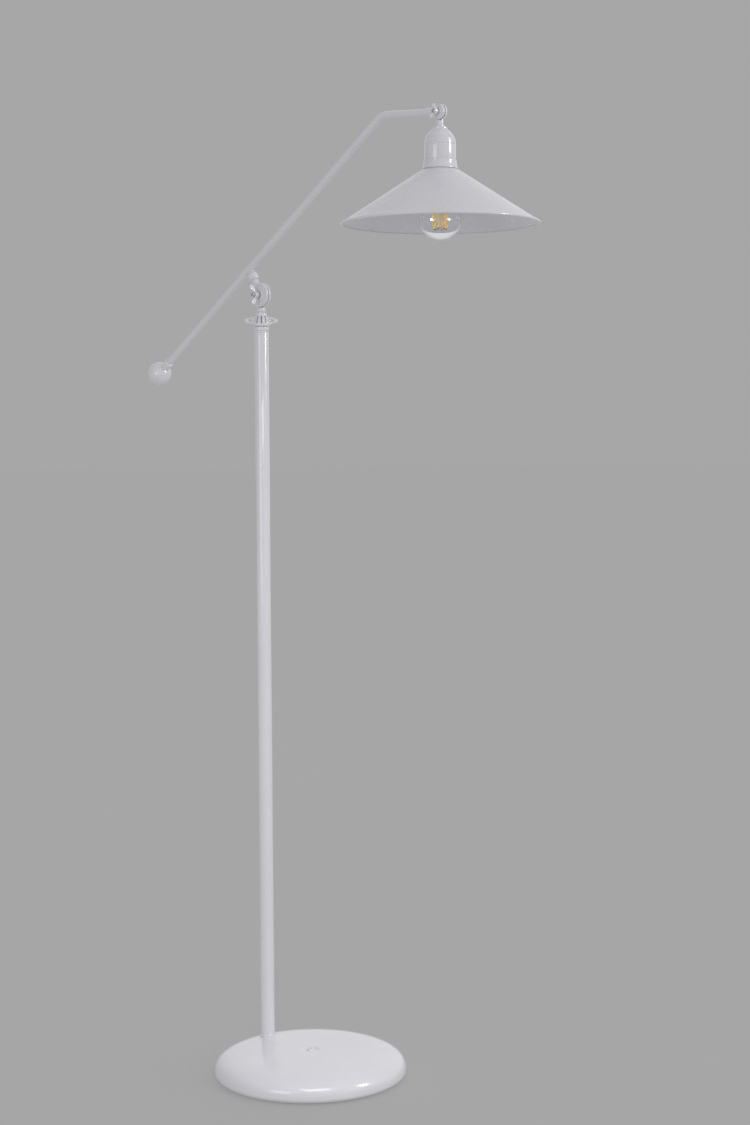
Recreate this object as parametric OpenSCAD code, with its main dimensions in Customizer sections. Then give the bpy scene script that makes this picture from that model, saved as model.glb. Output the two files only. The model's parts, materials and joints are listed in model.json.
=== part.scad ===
// Adjustable arm floor lamp: a domed weighted base, an off-centre stem, a swivel with a
// winged ring nut, a balanced arm on a tilt knuckle and a cone shade on a second knuckle.
// Millimetres, +Z up. The origin is on the floor under the centre of the base, and the
// arm reaches towards +X.

/* [Base] */
// Diameter of the domed base
base_d = 300; // [240:5:360]
// Height of the top of the dome above the floor
base_h = 41; // [34:1:60]
// Height of the widest line of the dome
base_edge_z = 9; // [6:0.5:14]
// Wall of the spun dome
base_wall = 1.5; // [1:0.1:2]
// Thickness of the floor pad
pad_t = 2; // [1:0.5:4]
// Thickness of the bottom plate
plate_t = 1.2; // [0.8:0.1:2]
// Distance from the edge of the base to the edge of the iron weight
weight_inset = 28; // [26:1:34]
// Thickness of the iron weight
weight_t = 12; // [10:1:13]
// Diameter of the dimple round the centre screw
dimple_d = 28; // [22:1:36]
// Bore of the cable grommet
inlet_d = 6.6; // [5:0.2:8]

/* [Stem] */
// Distance from the edge of the base to the centre of the stem
stem_inset = 46; // [44:1:60]
// Outer diameter of the stem tube
stem_d = 22; // [20:0.5:28]
// Wall of the stem tube
stem_wall = 1.5; // [1:0.1:2]
// Height of the top of the stem tube above the floor
stem_top = 1166; // [700:1:1400]
// Height of the ferrule under the stem tube
ferrule_h = 3; // [2.5:0.5:8]

/* [Swivel] */
// Diameter of the spigot that turns in the stem top
spigot_d = 12; // [10:0.5:13]
// Wall of the nylon bush round the spigot
bush_wall = 0.9; // [0.6:0.1:1.2]
// Height of the bell of the ring nut
crown_h = 21; // [18:1:28]
// Distance from wing tip to wing tip of the ring nut
crown_span = 53; // [44:1:70]
// Angle of the ring nut's wings
crown_turn = 50; // [0:5:180]

/* [Knuckles] */
// Diameter of the discs of the tilt knuckle
tilt_disc_d = 38; // [31:1:46]
// Thickness of each disc of the tilt knuckle
tilt_disc_t = 4.2; // [3.6:0.1:6]
// Diameter of the tilt bolt
tilt_bolt_d = 6; // [5:0.5:8]
// Distance from wing tip to wing tip of the tilt wing nut
tilt_wing_span = 32; // [26:1:40]
// Diameter of the discs of the head knuckle
head_disc_d = 22; // [20:1:28]
// Thickness of each disc of the head knuckle
head_disc_t = 4; // [3.4:0.1:5]
// Diameter of the head bolt
head_bolt_d = 5; // [4:0.5:6]
// Distance from wing tip to wing tip of the head wing nut
head_wing_span = 21; // [18:1:28]
// Gap between the two discs of a knuckle, filled by the friction washer
disc_gap = 1.5; // [1:0.1:2.5]

/* [Arm] */
// Outer diameter of the arm tube
arm_d = 10; // [8:0.5:12]
// Wall of the arm tube
arm_wall = 1; // [0.8:0.1:1.5]
// Angle of the arm above the horizontal
arm_angle = 33.5; // [15:0.5:45]
// Distance from the rim of the tilt discs to the centre line of the arm
arm_lift = 32; // [31:1:51]
// Length of the arm from above the tilt axis down to its tail
arm_tail = 262; // [180:2:320]
// Length of the arm from above the tilt axis up to its bend
arm_reach = 369; // [260:1:460]
// Radius of the arm's bend along its centre line
bend_r = 32; // [20:1:60]
// Length of the arm from its bend to the head axis
arm_end = 120; // [90:1:160]
// Droop of the arm's end below the horizontal
end_droop = 5; // [0:0.5:12]
// Diameter of the counterweight ball
ball_d = 38; // [30:1:60]

/* [Lamp head] */
// Diameter of the lampholder's body
holder_d = 45; // [43:0.5:52]
// Distance from the head axis down to the top of the lampholder's cap
cap_drop = 22; // [20:0.5:30]
// Height of the lampholder's cap
cap_h = 14.5; // [12:0.5:20]
// Height of the lampholder's body
body_h = 31.5; // [26:0.5:40]
// Height of the flared collar above the shade
collar_h = 12.5; // [9:0.5:18]
// Diameter of the shade over its rolled rim
shade_d = 285; // [220:1:345]
// Height of the shade
shade_h = 78.5; // [60:0.5:110]
// Wall of the shade
shade_wall = 0.9; // [0.7:0.1:1.5]
// Diameter of the bulb's globe
bulb_d = 60; // [50:1:75]
// Length of the bulb with its screw cap
bulb_l = 110; // [104:1:124]
// How far the bulb's tip hangs below the rim of the shade
bulb_peek = 22.5; // [0:0.5:30]
// Number of filaments in the bulb
filament_count = 6; // [4:1:8]

/* [Hidden] */

$fn = 96;
eps = 0.01;         // a hair, so that cuts run clean through a face
fit_gap = 0.05;     // between pieces that are pressed, screwed or glued together
run_gap = 0.06;     // radial, between pieces that turn on each other
clear_gap = 0.4;    // between pieces that pass each other without touching
turn_gap = 0.32;    // along the axis, between pieces that turn against each other

// Base
base_r = base_d / 2;
plate_z = pad_t;
edge_tuck = 8;      // how far the dome's lower edge turns in under its widest line
crown_power = 0.42; // how flat the dome's top is
edge_power = 0.75;  // how round the dome's edge is
upper_steps = 28;
lower_steps = 8;
plate_r = base_r - edge_tuck - base_wall - clear_gap;
pad_r = plate_r - 3;
weight_r = base_r - weight_inset;
stem_offset = base_r - stem_inset;
leg_count = 3;
leg_r = 8;
leg_ring_r = weight_r * 0.68; // radius of the circle that the weight's legs stand on
plate_screw_d = 4;
plate_screw_l = 14;
centre_d = 6;
dimple_depth = 2.2;
dimple_floor_z = base_h - dimple_depth;
grommet_z = base_edge_z + 3;
grommet_flange = 2.4;
grommet_wall = 1.6;
inlet_r = inlet_d / 2;

// Stem foot
nipple_d = 10;
nipple_bore_d = 7;
hex_m10 = 17;       // across the flats
hex_m6 = 10;
foot_seat_r = stem_d / 2 + 1.5;
foot_seat_t = 4.5;
function dome_z(r, over = 0) =
  let (full_r = base_r - over, full_h = base_h - over)
  let (rise = 1 - pow(min(r / full_r, 1), 2 / crown_power))
  base_edge_z + (full_h - base_edge_z) * pow(rise, edge_power / 2);
foot_z = dome_z(stem_offset - foot_seat_r) + 0.2;
stem_z = foot_z + ferrule_h;
stem_r = stem_d / 2;
stem_bore_r = stem_r - stem_wall;
weight_top_z = dome_z(weight_r, base_wall) - clear_gap;
weight_z = weight_top_z - weight_t;
ferrule_lip_h = 1.4;
foot_washer_t = 1.6;
foot_nut_t = 6;
foot_plug_l = 22;
foot_pocket_r = nipple_d + 1.5;
foot_pocket_z = weight_top_z - 4;
nipple_z = foot_pocket_z - foot_washer_t - foot_nut_t - 1;
nipple_top_z = stem_z + foot_plug_l;

// Swivel
spigot_r = spigot_d / 2;
spigot_bore_r = 2.7;
bush_r = spigot_r + run_gap + bush_wall;
hub_bore_r = bush_r + fit_gap;
hub_thread_r = hub_bore_r + 1.6;
hub_plug_l = 25;
hub_collar_h = 9;
hub_collar_r = stem_r + 0.3;
hub_thread_h = 12;
hub_thread_z = stem_top + hub_collar_h;
finger_slots = 4;
crown_z = hub_thread_z + 1;
crown_r = stem_r + 1.5;
crown_neck_r = spigot_r + 2;
crown_windows = 10;
crown_wing_t = 3.4;
clip_t = 1.2;
clip_z = stem_top - hub_plug_l - clip_t - clear_gap;
spigot_z = clip_z - 3;

// Tilt knuckle
tilt_r = tilt_disc_d / 2;
tilt_z = crown_z + crown_h + 9 + tilt_r;
tilt_bolt_r = tilt_bolt_d / 2;
neck_gap = 1;       // between a neck and the disc of the other half that sweeps past it
boss_t = 1.2;
wire_recess_t = 2;
flat_washer_t = 1.2;
tilt = [-stem_offset, 0, tilt_z];

// Arm
arm_r = arm_d / 2;
arm_rise = tilt_r + arm_lift; // from the tilt axis to the centre line of the arm
arm_bore_r = arm_r - arm_wall;
coupling_r = 8.5;
coupling_h = 12;
arm_neck_r = 5.6;
arm_thread_r = 4.5;
arm_thread_bore_r = 2.4;
neck_top = tilt_r + 10;
saddle_z = neck_top + coupling_h;
bend_angle = arm_angle + end_droop;
bend_tangent = bend_r * tan(bend_angle / 2);
bend_lap = 0.8;     // how far the straight lengths run on into the bend
bend_swell = 0.02;  // how much the tube swells where it is bent
head_r = head_disc_d / 2;
head_bolt_r = head_bolt_d / 2;
socket_r = arm_r + 1.4;
socket_l = 14;
tube_stop = head_r + neck_gap + 2;
tail_collar_l = 15;
tail_collar_r = arm_r + 2.2;
tail_grip = 9;
tail_nose = 1.5;
set_screw_r = 2;
stud_r = 3;
ball_r = ball_d / 2;
head_in_arm = [arm_reach + arm_end * cos(bend_angle), 0,
               arm_rise - arm_end * sin(bend_angle)];
head = tilt + [head_in_arm[0] * cos(arm_angle) - head_in_arm[2] * sin(arm_angle), 0,
               head_in_arm[0] * sin(arm_angle) + head_in_arm[2] * cos(arm_angle)];

// Lamp head, with heights below the head axis
holder_r = holder_d / 2;
holder_wall = 1;
head_neck_r = 4.7;
head_thread_r = 4.9;
head_thread_bore_r = 2.6;
cap_top = -cap_drop;
cap_bottom = cap_top - cap_h;
body_bottom = cap_bottom - body_h;
collar_bottom = body_bottom - collar_h;
cap_flat_r = 10.5;
body_bore_r = holder_r - 2.6;
lip_r = holder_r - 4; // bore of the lip that the cap sits on
lip_t = 1.5;
bead = 0.5;
collar_flare = 2.6;
shade_r = shade_d / 2;
shade_top = collar_bottom;
shade_bottom = shade_top - shade_h;
shade_top_r = holder_r + 2;
rim_r = 1.7;
shade_ring_h = 5;
skirt_r = holder_r - 3.5;
skirt_wall = 1.6;
shade_hole_r = skirt_r + 0.3;
bulb_r = bulb_d / 2;
bulb_tip = shade_bottom - bulb_peek;
bulb_centre = bulb_tip + bulb_r;
bulb_contact = bulb_tip + bulb_l;
glass_t = 0.8;
screw_r = 13.1;     // outer radius of the bulb's screw cap
screw_h = 22;
screw_top = bulb_contact - 3;
screw_bottom = screw_top - screw_h;
glass_top = screw_bottom + 6;
bulb_neck_r = screw_r - 0.9;
shoulder_angle = 30;
neck_steps = 10;
core_bottom = bulb_contact + 2.4;
core_h = 12;
skirt_bottom = min(screw_bottom, shade_top - shade_wall - shade_ring_h) - 3;
skirt_top = max(core_bottom + core_h, body_bottom + 8);
filament_r = 0.9;
filament_low = bulb_tip + 15;
filament_high = filament_low + 38;
filament_low_ring = 9.5;
filament_high_ring = 12.5;
filament_turn = 0;
lead_r = 0.35;
glass_rod_r = 1.6;
stem_flare_z = filament_high + 6;
cap_eye_r = 7;      // radius of the hole in the screw cap's end
tip_r = 4.2;
tip_t = 0.8;
wire_r = 1.05;
wire_offset = 1.15; // half the distance between the two wires
wire_turn_r = 5;
arm_wire_turn_r = 2.4;
wire_start_z = tilt_r + neck_gap + 2;

white = "whitesmoke";
steel = "silver";
iron = "dimgray";
black = "#2a2a2a";

// ---------- helpers ----------

// Outline of the dome, from its top centre round the widest line to its tucked-in edge
function dome_outline(over) =
  let (r = base_r - over, h = base_h - over, tuck = edge_tuck)
  concat(
    [[0, h]],
    [for (i = [upper_steps - 1:-1:0])
      let (t = 90 * i / upper_steps)
      [r * pow(cos(t), crown_power), base_edge_z + (h - base_edge_z) * pow(sin(t), edge_power)]],
    [for (i = [1:lower_steps])
      let (t = 90 * i / lower_steps)
      [r - tuck * (1 - cos(t)), base_edge_z - (base_edge_z - plate_z) * sin(t)]]
  );

// Solid of revolution of the dome, reaching down to the height of the bottom plate
module dome_solid(over) {
  points = dome_outline(over);
  rotate_extrude() polygon(concat(points, [[0, plate_z]]));
}

module ring(r, bore, h) {
  difference() {
    cylinder(r = r, h = h);
    translate([0, 0, -eps]) cylinder(r = bore, h = h + 2 * eps);
  }
}

module hex_nut(flats, bore, h) {
  difference() {
    intersection() {
      cylinder(r = flats / sqrt(3), h = h, $fn = 6);
      cylinder(r1 = flats / 2 + h, r2 = flats / 2 - 0.2 + 0.5, h = h);
    }
    translate([0, 0, -eps]) cylinder(r = bore, h = h + 2 * eps);
  }
}

module at_stem() translate([-stem_offset, 0, 0]) children();
module at_leg(i) rotate([0, 0, i * 360 / leg_count])
  translate([leg_ring_r, 0, 0]) children();
module at_tilt() translate(tilt) children();
// The arm's own frame: X along the arm, Z away from the tilt axis towards the arm
module on_arm() at_tilt() rotate([0, -arm_angle, 0]) children();
module at_head() translate(head) children();
// The frame of the arm's end: X along the end of the arm, origin on the head axis
module on_arm_end() at_head() rotate([0, end_droop, 0]) children();
// Turns a shape built along Z so that it runs along -Y, and along +Y
module towards_front() rotate([90, 0, 0]) children();
module towards_back() rotate([-90, 0, 0]) children();

// Half of a knuckle: a disc on one side of the middle plane. side is 1 for +Y, -1 for -Y
module knuckle_disc(r, t, bolt_r, side) {
  rotate([-90 * side, 0, 0]) translate([0, 0, disc_gap / 2]) difference() {
    union() {
      cylinder(r = r, h = t - 1);
      translate([0, 0, t - 1 - eps]) cylinder(r1 = r, r2 = r - 1, h = 1 + eps);
      cylinder(r = bolt_r + 4, h = t + boss_t);
    }
    translate([0, 0, -eps]) cylinder(r = bolt_r + run_gap, h = t + boss_t + 2 * eps);
    translate([0, 0, -eps]) ring(r * 0.6, bolt_r + 1.8, wire_recess_t);
  }
}

// A neck along +Z that stops short of the other half's disc and runs into its own.
// side is the side of its own disc
module knuckle_neck(disc_r, neck_r, reach, side) {
  intersection() {
    cylinder(r = neck_r, h = reach);
    union() {
      translate([-disc_r, -disc_r, disc_r + neck_gap]) cube([2 * disc_r, 2 * disc_r, reach]);
      translate([-disc_r, side > 0 ? disc_gap / 2 : -disc_r - disc_gap / 2, disc_r * 0.7])
        cube([2 * disc_r, disc_r, reach]);
    }
  }
}

// A wing nut built along +Z, with its wings up and down the X axis
module wing_nut(bolt_r, span, wing_t) {
  nut_h = bolt_r * 2.4;
  tip_r = span * 0.13;
  root_r = bolt_r * 0.9;
  difference() {
    union() {
      cylinder(r1 = bolt_r * 1.9, r2 = bolt_r * 1.55, h = nut_h);
      for (s = [-1, 1]) rotate([90, 0, 0]) translate([0, 0, -wing_t / 2])
        linear_extrude(wing_t) hull() {
          translate([s * bolt_r * 1.35, root_r + 0.3]) circle(r = root_r, $fn = 32);
          translate([s * bolt_r * 1.3, nut_h * 0.8]) circle(r = root_r * 0.8, $fn = 32);
          translate([s * (span / 2 - tip_r), nut_h * 1.35]) circle(r = tip_r, $fn = 32);
        }
    }
    translate([0, 0, -eps]) cylinder(r = bolt_r + run_gap, h = nut_h * 3);
  }
}

// A tube or rod that follows the arm from start to the head end, in the arm's frame.
// off moves it sideways, and stop is how far before the head axis it ends
module arm_run(r, start, stop, off = 0) {
  translate([start, off, arm_rise]) rotate([0, 90, 0])
    cylinder(r = r, h = arm_reach - bend_tangent - start + bend_lap);
  translate([arm_reach - bend_tangent, off, arm_rise - bend_r]) rotate([90, 0, 0])
    rotate([0, 0, 90 - bend_angle])
      rotate_extrude(angle = bend_angle) translate([bend_r, 0]) circle(r = r + bend_swell);
  translate([arm_reach, off, arm_rise]) rotate([0, bend_angle, 0])
    translate([bend_tangent - bend_lap, 0, 0]) rotate([0, 90, 0])
      cylinder(r = r, h = arm_end - bend_tangent - stop + bend_lap);
}

// ---------- base ----------

module base_cover() color(white) difference() {
  union() {
    difference() {
      dome_solid(0);
      translate([0, 0, -eps]) dome_solid_inner();
    }
    at_stem() translate([0, 0, foot_z - foot_seat_t]) cylinder(r = foot_seat_r, h = foot_seat_t);
    translate([0, 0, dimple_floor_z - base_wall]) cylinder(r = dimple_d / 2 + base_wall, h = 3);
  }
  at_stem() cylinder(r = nipple_d / 2 + clear_gap, h = base_h + 10);
  translate([0, 0, dimple_floor_z])
    cylinder(r1 = dimple_d / 2 - 4, r2 = dimple_d / 2, h = dimple_depth + eps);
  cylinder(r = centre_d / 2 + clear_gap, h = base_h + 10);
  translate([-base_r - 5, 0, grommet_z]) rotate([0, 90, 0])
    cylinder(r = inlet_r + grommet_wall, h = 12);
}

// The space inside the dome, open at the bottom
module dome_solid_inner() {
  points = dome_outline(base_wall);
  last = points[len(points) - 1];
  rotate_extrude() polygon(concat(points, [[last[0], 0], [0, 0]]));
}

module base_weight() color(iron) difference() {
  union() {
    translate([0, 0, weight_z]) cylinder(r = weight_r, h = weight_t);
    for (i = [0:leg_count - 1]) at_leg(i)
      translate([0, 0, plate_z + plate_t + fit_gap])
        cylinder(r = leg_r, h = weight_z - plate_z - plate_t);
  }
  at_stem() cylinder(r = nipple_d / 2 + clear_gap, h = base_h);
  at_stem() cylinder(r = foot_pocket_r, h = foot_pocket_z);
  at_stem() translate([0, 0, foot_z - foot_seat_t - clear_gap])
    cylinder(r = foot_seat_r + clear_gap, h = base_h);
  cylinder(r = centre_d / 2 + clear_gap, h = base_h);
  translate([0, 0, dimple_floor_z - base_wall - clear_gap])
    cylinder(r = dimple_d / 2 + base_wall + clear_gap, h = base_h);
  for (i = [0:leg_count - 1]) at_leg(i)
    cylinder(r = plate_screw_d / 2 + fit_gap, h = plate_z + plate_screw_l + 1);
}

module bottom_plate() color(steel) difference() {
  translate([0, 0, plate_z]) cylinder(r = plate_r, h = plate_t);
  for (i = [0:leg_count - 1]) at_leg(i) translate([0, 0, plate_z - eps])
    cylinder(r1 = plate_screw_d + fit_gap, r2 = plate_screw_d / 2 + 0.3, h = plate_t + 2 * eps);
}

module floor_pad() color(black) cylinder(r = pad_r, h = pad_t);

module plate_screws() color(steel) for (i = [0:leg_count - 1]) at_leg(i)
  translate([0, 0, plate_z]) union() {
    cylinder(r1 = plate_screw_d - 0.1, r2 = plate_screw_d / 2, h = plate_t);
    cylinder(r = plate_screw_d / 2, h = plate_screw_l);
  }

module centre_screw() color(white) difference() {
  union() {
    translate([0, 0, weight_z - 8]) cylinder(r = centre_d / 2, h = dimple_floor_z - weight_z + 9);
    translate([0, 0, dimple_floor_z + fit_gap]) cylinder(r1 = centre_d, r2 = centre_d * 0.6, h = 3);
  }
  for (a = [0, 90]) rotate([0, 0, a]) translate([-3, -0.6, dimple_floor_z + 1.6])
    cube([6, 1.2, 3]);
}

module centre_nut() color(steel) translate([0, 0, weight_z - 5 - fit_gap])
  hex_nut(hex_m6, centre_d / 2 + fit_gap, 5);

module cable_grommet() color(black) translate([-base_r, 0, grommet_z]) rotate([0, 90, 0])
  difference() {
    union() {
      translate([0, 0, -grommet_flange - 0.1])
        cylinder(r1 = inlet_r + 2, r2 = inlet_r + 3, h = grommet_flange);
      translate([0, 0, -0.2]) cylinder(r = inlet_r + grommet_wall - fit_gap, h = 4);
      translate([0, 0, base_wall + 1.2]) cylinder(r = inlet_r + 2.2, h = 1.8);
    }
    translate([0, 0, -10]) cylinder(r = inlet_r, h = 30);
  }

// ---------- stem foot and stem ----------

module foot_ferrule() color(white) at_stem() translate([0, 0, foot_z]) difference() {
  union() {
    cylinder(r = stem_r + 0.9, h = ferrule_lip_h);
    translate([0, 0, ferrule_lip_h - eps])
      cylinder(r1 = stem_r + 0.5, r2 = stem_r + 0.1, h = ferrule_h - ferrule_lip_h + eps);
  }
  translate([0, 0, -eps]) cylinder(r = nipple_d / 2 + clear_gap, h = ferrule_h + 1);
}

module foot_plug() color(steel) at_stem() translate([0, 0, stem_z])
  ring(stem_bore_r - fit_gap, nipple_d / 2 + fit_gap, foot_plug_l);

module foot_nipple() color(steel) at_stem() translate([0, 0, nipple_z])
  ring(nipple_d / 2, nipple_bore_d / 2, nipple_top_z - nipple_z);

module foot_washer() color(steel) at_stem()
  translate([0, 0, foot_pocket_z - foot_washer_t - fit_gap])
    ring(nipple_d + 1, nipple_d / 2 + 0.25, foot_washer_t);

module foot_nut() color(steel) at_stem()
  translate([0, 0, foot_pocket_z - foot_washer_t - foot_nut_t - 2 * fit_gap])
    hex_nut(hex_m10, nipple_d / 2 + fit_gap, foot_nut_t);

module stem_tube() color(white) at_stem() translate([0, 0, stem_z])
  ring(stem_r, stem_bore_r, stem_top - stem_z);

// ---------- swivel ----------

module stem_hub() color(white) at_stem() difference() {
  union() {
    translate([0, 0, stem_top - hub_plug_l]) cylinder(r = stem_bore_r - fit_gap, h = hub_plug_l + 1);
    translate([0, 0, stem_top]) cylinder(r = hub_collar_r, h = 2.2);
    translate([0, 0, stem_top]) cylinder(r = hub_collar_r - 1, h = hub_collar_h);
    translate([0, 0, stem_top + 3.6]) cylinder(r = hub_collar_r + 0.3, h = hub_collar_h - 3.6);
    translate([0, 0, hub_thread_z - eps]) cylinder(r = hub_thread_r, h = hub_thread_h);
  }
  translate([0, 0, stem_top - hub_plug_l - 1])
    cylinder(r = hub_bore_r, h = hub_plug_l + hub_collar_h + hub_thread_h + 5);
  for (i = [0:finger_slots - 1]) rotate([0, 0, 45 + i * 360 / finger_slots])
    translate([0, -0.7, hub_thread_z + 2]) cube([hub_thread_r + 2, 1.4, hub_thread_h + 2]);
}

module swivel_bush() color(black) at_stem() translate([0, 0, stem_top - hub_plug_l])
  ring(bush_r, spigot_r + run_gap, hub_plug_l + hub_collar_h + hub_thread_h);

module spigot_clip() color(steel) at_stem() translate([0, 0, clip_z]) difference() {
  cylinder(r = spigot_r + 2, h = clip_t);
  translate([0, 0, -1]) cylinder(r = spigot_r - 0.8 + fit_gap, h = clip_t + 2);
  translate([0, -1.5, -1]) cube([spigot_r + 5, 3, clip_t + 2]);
}

module crown_nut() color(white) at_stem() translate([0, 0, crown_z])
  rotate([0, 0, crown_turn]) difference() {
    union() {
      rotate_extrude() polygon([
        [0, 0], [crown_r - 1, 0], [crown_r, 1], [crown_r, 4.5], [crown_r - 0.7, 9],
        [crown_r - 2, 13.5], [crown_r - 4, crown_h - 4], [crown_neck_r + 0.6, crown_h - 1.5],
        [crown_neck_r, crown_h], [0, crown_h]
      ]);
      for (s = [-1, 1]) rotate([90, 0, 0]) translate([0, 0, -crown_wing_t / 2])
        linear_extrude(crown_wing_t) difference() {
          hull() {
            translate([s * (crown_r - 4), 4.5]) circle(r = 3, $fn = 32);
            translate([s * (crown_r - 4.5), crown_h - 7.5]) circle(r = 2.5, $fn = 32);
            translate([s * (crown_span / 2 - 3), 9]) circle(r = 3, $fn = 32);
          }
          translate([s * (crown_r + 4.6), 8.8]) circle(r = 2.2, $fn = 32);
        }
    }
    translate([0, 0, -eps]) cylinder(r = hub_thread_r + run_gap, h = hub_thread_h);
    translate([0, 0, hub_thread_h - 0.1])
      cylinder(r1 = hub_thread_r + run_gap, r2 = spigot_r + clear_gap, h = 2.5);
    cylinder(r = spigot_r + clear_gap, h = crown_h + 5);
    for (i = [0:crown_windows - 1]) rotate([0, 0, (i + 0.5) * 360 / crown_windows])
      translate([spigot_r + 1, -1.1, 4]) cube([crown_r, 2.2, crown_h - 9]);
  }

module lower_knuckle() color(white) difference() {
  union() {
    at_tilt() knuckle_disc(tilt_r, tilt_disc_t, tilt_bolt_r, 1);
    at_tilt() rotate([180, 0, 0]) knuckle_neck(tilt_r, spigot_r, tilt_r + 8, -1);
    at_stem() translate([0, 0, spigot_z])
      cylinder(r = spigot_r, h = tilt_z - tilt_r - neck_gap - spigot_z);
    at_stem() translate([0, 0, tilt_z - tilt_r - neck_gap - 5.5]) cylinder(r = spigot_r + 1.2, h = 3);
  }
  at_stem() translate([0, 0, spigot_z - 1])
    cylinder(r = spigot_bore_r, h = tilt_z - tilt_r - spigot_z - 1);
  at_stem() translate([0, 0, clip_z - fit_gap])
    ring(spigot_r + 5, spigot_r - 0.8, clip_t + 2 * fit_gap);
}

// ---------- tilt knuckle ----------

// A cup-headed bolt along -Y, with its head behind the back disc
module knuckle_bolt(bolt_r, disc_t, reach, head_r, head_h) {
  back = disc_gap / 2 + disc_t + boss_t + fit_gap;
  towards_front() translate([0, 0, -back]) union() {
    cylinder(r = bolt_r, h = back + reach);
    rotate([180, 0, 0]) rotate_extrude() polygon(concat(
      [[0, 0], [head_r, 0]],
      [for (t = [0:15:90]) [head_r * cos(t), 0.6 + (head_h - 0.6) * sin(t)]]
    ));
  }
}

module tilt_bolt() color(steel) at_tilt()
  knuckle_bolt(tilt_bolt_r, tilt_disc_t, disc_gap / 2 + tilt_disc_t + boss_t + 13, 6.4, 3.4);

// Stuck to the front disc, with a gap to the back one
module friction_washer(r, bore) towards_front() translate([0, 0, -disc_gap / 2 + turn_gap])
  ring(r, bore, disc_gap - turn_gap - fit_gap);

module tilt_friction_washer() color(black) at_tilt()
  friction_washer(tilt_r - 2.5, tilt_r * 0.6 + 0.5);

module flat_washer(r, bolt_r, disc_t) towards_front()
  translate([0, 0, disc_gap / 2 + disc_t + boss_t + fit_gap])
    ring(r, bolt_r + run_gap, flat_washer_t);

module tilt_flat_washer() color(steel) at_tilt() flat_washer(6.5, tilt_bolt_r, tilt_disc_t);

module at_nut(disc_t) towards_front()
  translate([0, 0, disc_gap / 2 + disc_t + boss_t + flat_washer_t + turn_gap]) children();

module tilt_wing_nut() color(white) at_tilt() at_nut(tilt_disc_t)
  rotate([0, 0, 100]) wing_nut(tilt_bolt_r, tilt_wing_span, 3);

// ---------- arm ----------

module upper_knuckle() color(white) on_arm() difference() {
  union() {
    knuckle_disc(tilt_r, tilt_disc_t, tilt_bolt_r, -1);
    knuckle_neck(tilt_r, arm_neck_r, neck_top, -1);
    translate([0, 0, neck_top - eps]) cylinder(r = arm_thread_r, h = coupling_h + 2.5);
  }
  translate([0, 0, tilt_r + neck_gap + 1]) cylinder(r = arm_thread_bore_r, h = 60);
}

module arm_coupling() color(white) on_arm() translate([0, 0, neck_top + fit_gap]) difference() {
  rotate_extrude() polygon([
    [0, 0], [coupling_r - 2, 0], [coupling_r - 0.6, 2], [coupling_r - 0.6, 4],
    [coupling_r, 4.6], [coupling_r, 8.6], [coupling_r - 1.5, coupling_h - 2 * fit_gap],
    [0, coupling_h - 2 * fit_gap]
  ]);
  translate([0, 0, -1]) cylinder(r = arm_thread_r + fit_gap, h = coupling_h + 2);
}

module arm_saddle() color(white) on_arm() difference() {
  translate([0, 0, saddle_z])
    cylinder(r1 = coupling_r - 1.5, r2 = arm_r - 0.6, h = arm_rise - saddle_z);
  translate([0, 0, saddle_z - 1]) cylinder(r = arm_thread_r + fit_gap, h = 4);
  cylinder(r = arm_thread_bore_r, h = arm_rise);
  translate([-20, 0, arm_rise]) rotate([0, 90, 0]) cylinder(r = arm_r + fit_gap / 2, h = 40);
}

module arm_tube() color(white) on_arm() difference() {
  arm_run(arm_r, -arm_tail, tube_stop);
  arm_run(arm_bore_r, -arm_tail - 1, tube_stop - 1);
  cylinder(r = arm_thread_bore_r, h = arm_rise);
}

module tail_collar() color(white) on_arm()
  translate([-arm_tail - tail_collar_l + tail_grip, 0, arm_rise]) rotate([0, 90, 0]) difference() {
    union() {
      cylinder(r = tail_collar_r, h = tail_collar_l - tail_nose);
      translate([0, 0, tail_collar_l - tail_nose - eps])
        cylinder(r1 = tail_collar_r, r2 = arm_r + 0.9, h = tail_nose);
    }
    translate([0, 0, tail_collar_l - tail_grip]) cylinder(r = arm_r + fit_gap, h = tail_collar_l);
    translate([0, 0, -1]) cylinder(r = stud_r + fit_gap, h = tail_collar_l);
    translate([0, 0, tail_collar_l - tail_grip / 2 - 1]) rotate([0, -90, 0])
      cylinder(r = set_screw_r + fit_gap, h = 2 * tail_collar_r);
  }

module tail_set_screw() color(steel) on_arm()
  translate([-arm_tail + tail_grip / 2 - 1, 0, arm_rise + arm_r + fit_gap + 0.05]) difference() {
    cylinder(r = set_screw_r, h = tail_collar_r - arm_r + 0.6);
    translate([-3, -0.4, tail_collar_r - arm_r - 0.3]) cube([6, 0.8, 3]);
  }

module tail_stud() color(steel) on_arm() translate([-arm_tail - 16, 0, arm_rise])
  rotate([0, 90, 0]) cylinder(r = stud_r, h = 15.5);

module counterweight_ball() color(white) on_arm()
  translate([-arm_tail - (tail_collar_l - tail_grip) - ball_r + 0.9, 0, arm_rise]) difference() {
    sphere(r = ball_r);
    translate([ball_r - 0.9 - fit_gap, -ball_r, -ball_r]) cube(2 * ball_r);
    translate([ball_r - 12, 0, 0]) rotate([0, 90, 0]) cylinder(r = stud_r + fit_gap, h = 20);
  }

module arm_end_disc() color(white) on_arm_end() difference() {
  union() {
    knuckle_disc(head_r, head_disc_t, head_bolt_r, -1);
    rotate([0, -90, 0]) knuckle_neck(head_r, socket_r, head_r + neck_gap + 2 + socket_l, -1);
  }
  translate([-tube_stop - 60 - fit_gap, 0, 0]) rotate([0, 90, 0]) cylinder(r = arm_r + fit_gap, h = 60);
  translate([-tube_stop - 5, 0, 0]) rotate([0, 90, 0]) cylinder(r = 2.2, h = 6.5);
}

// ---------- lamp head ----------

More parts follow.
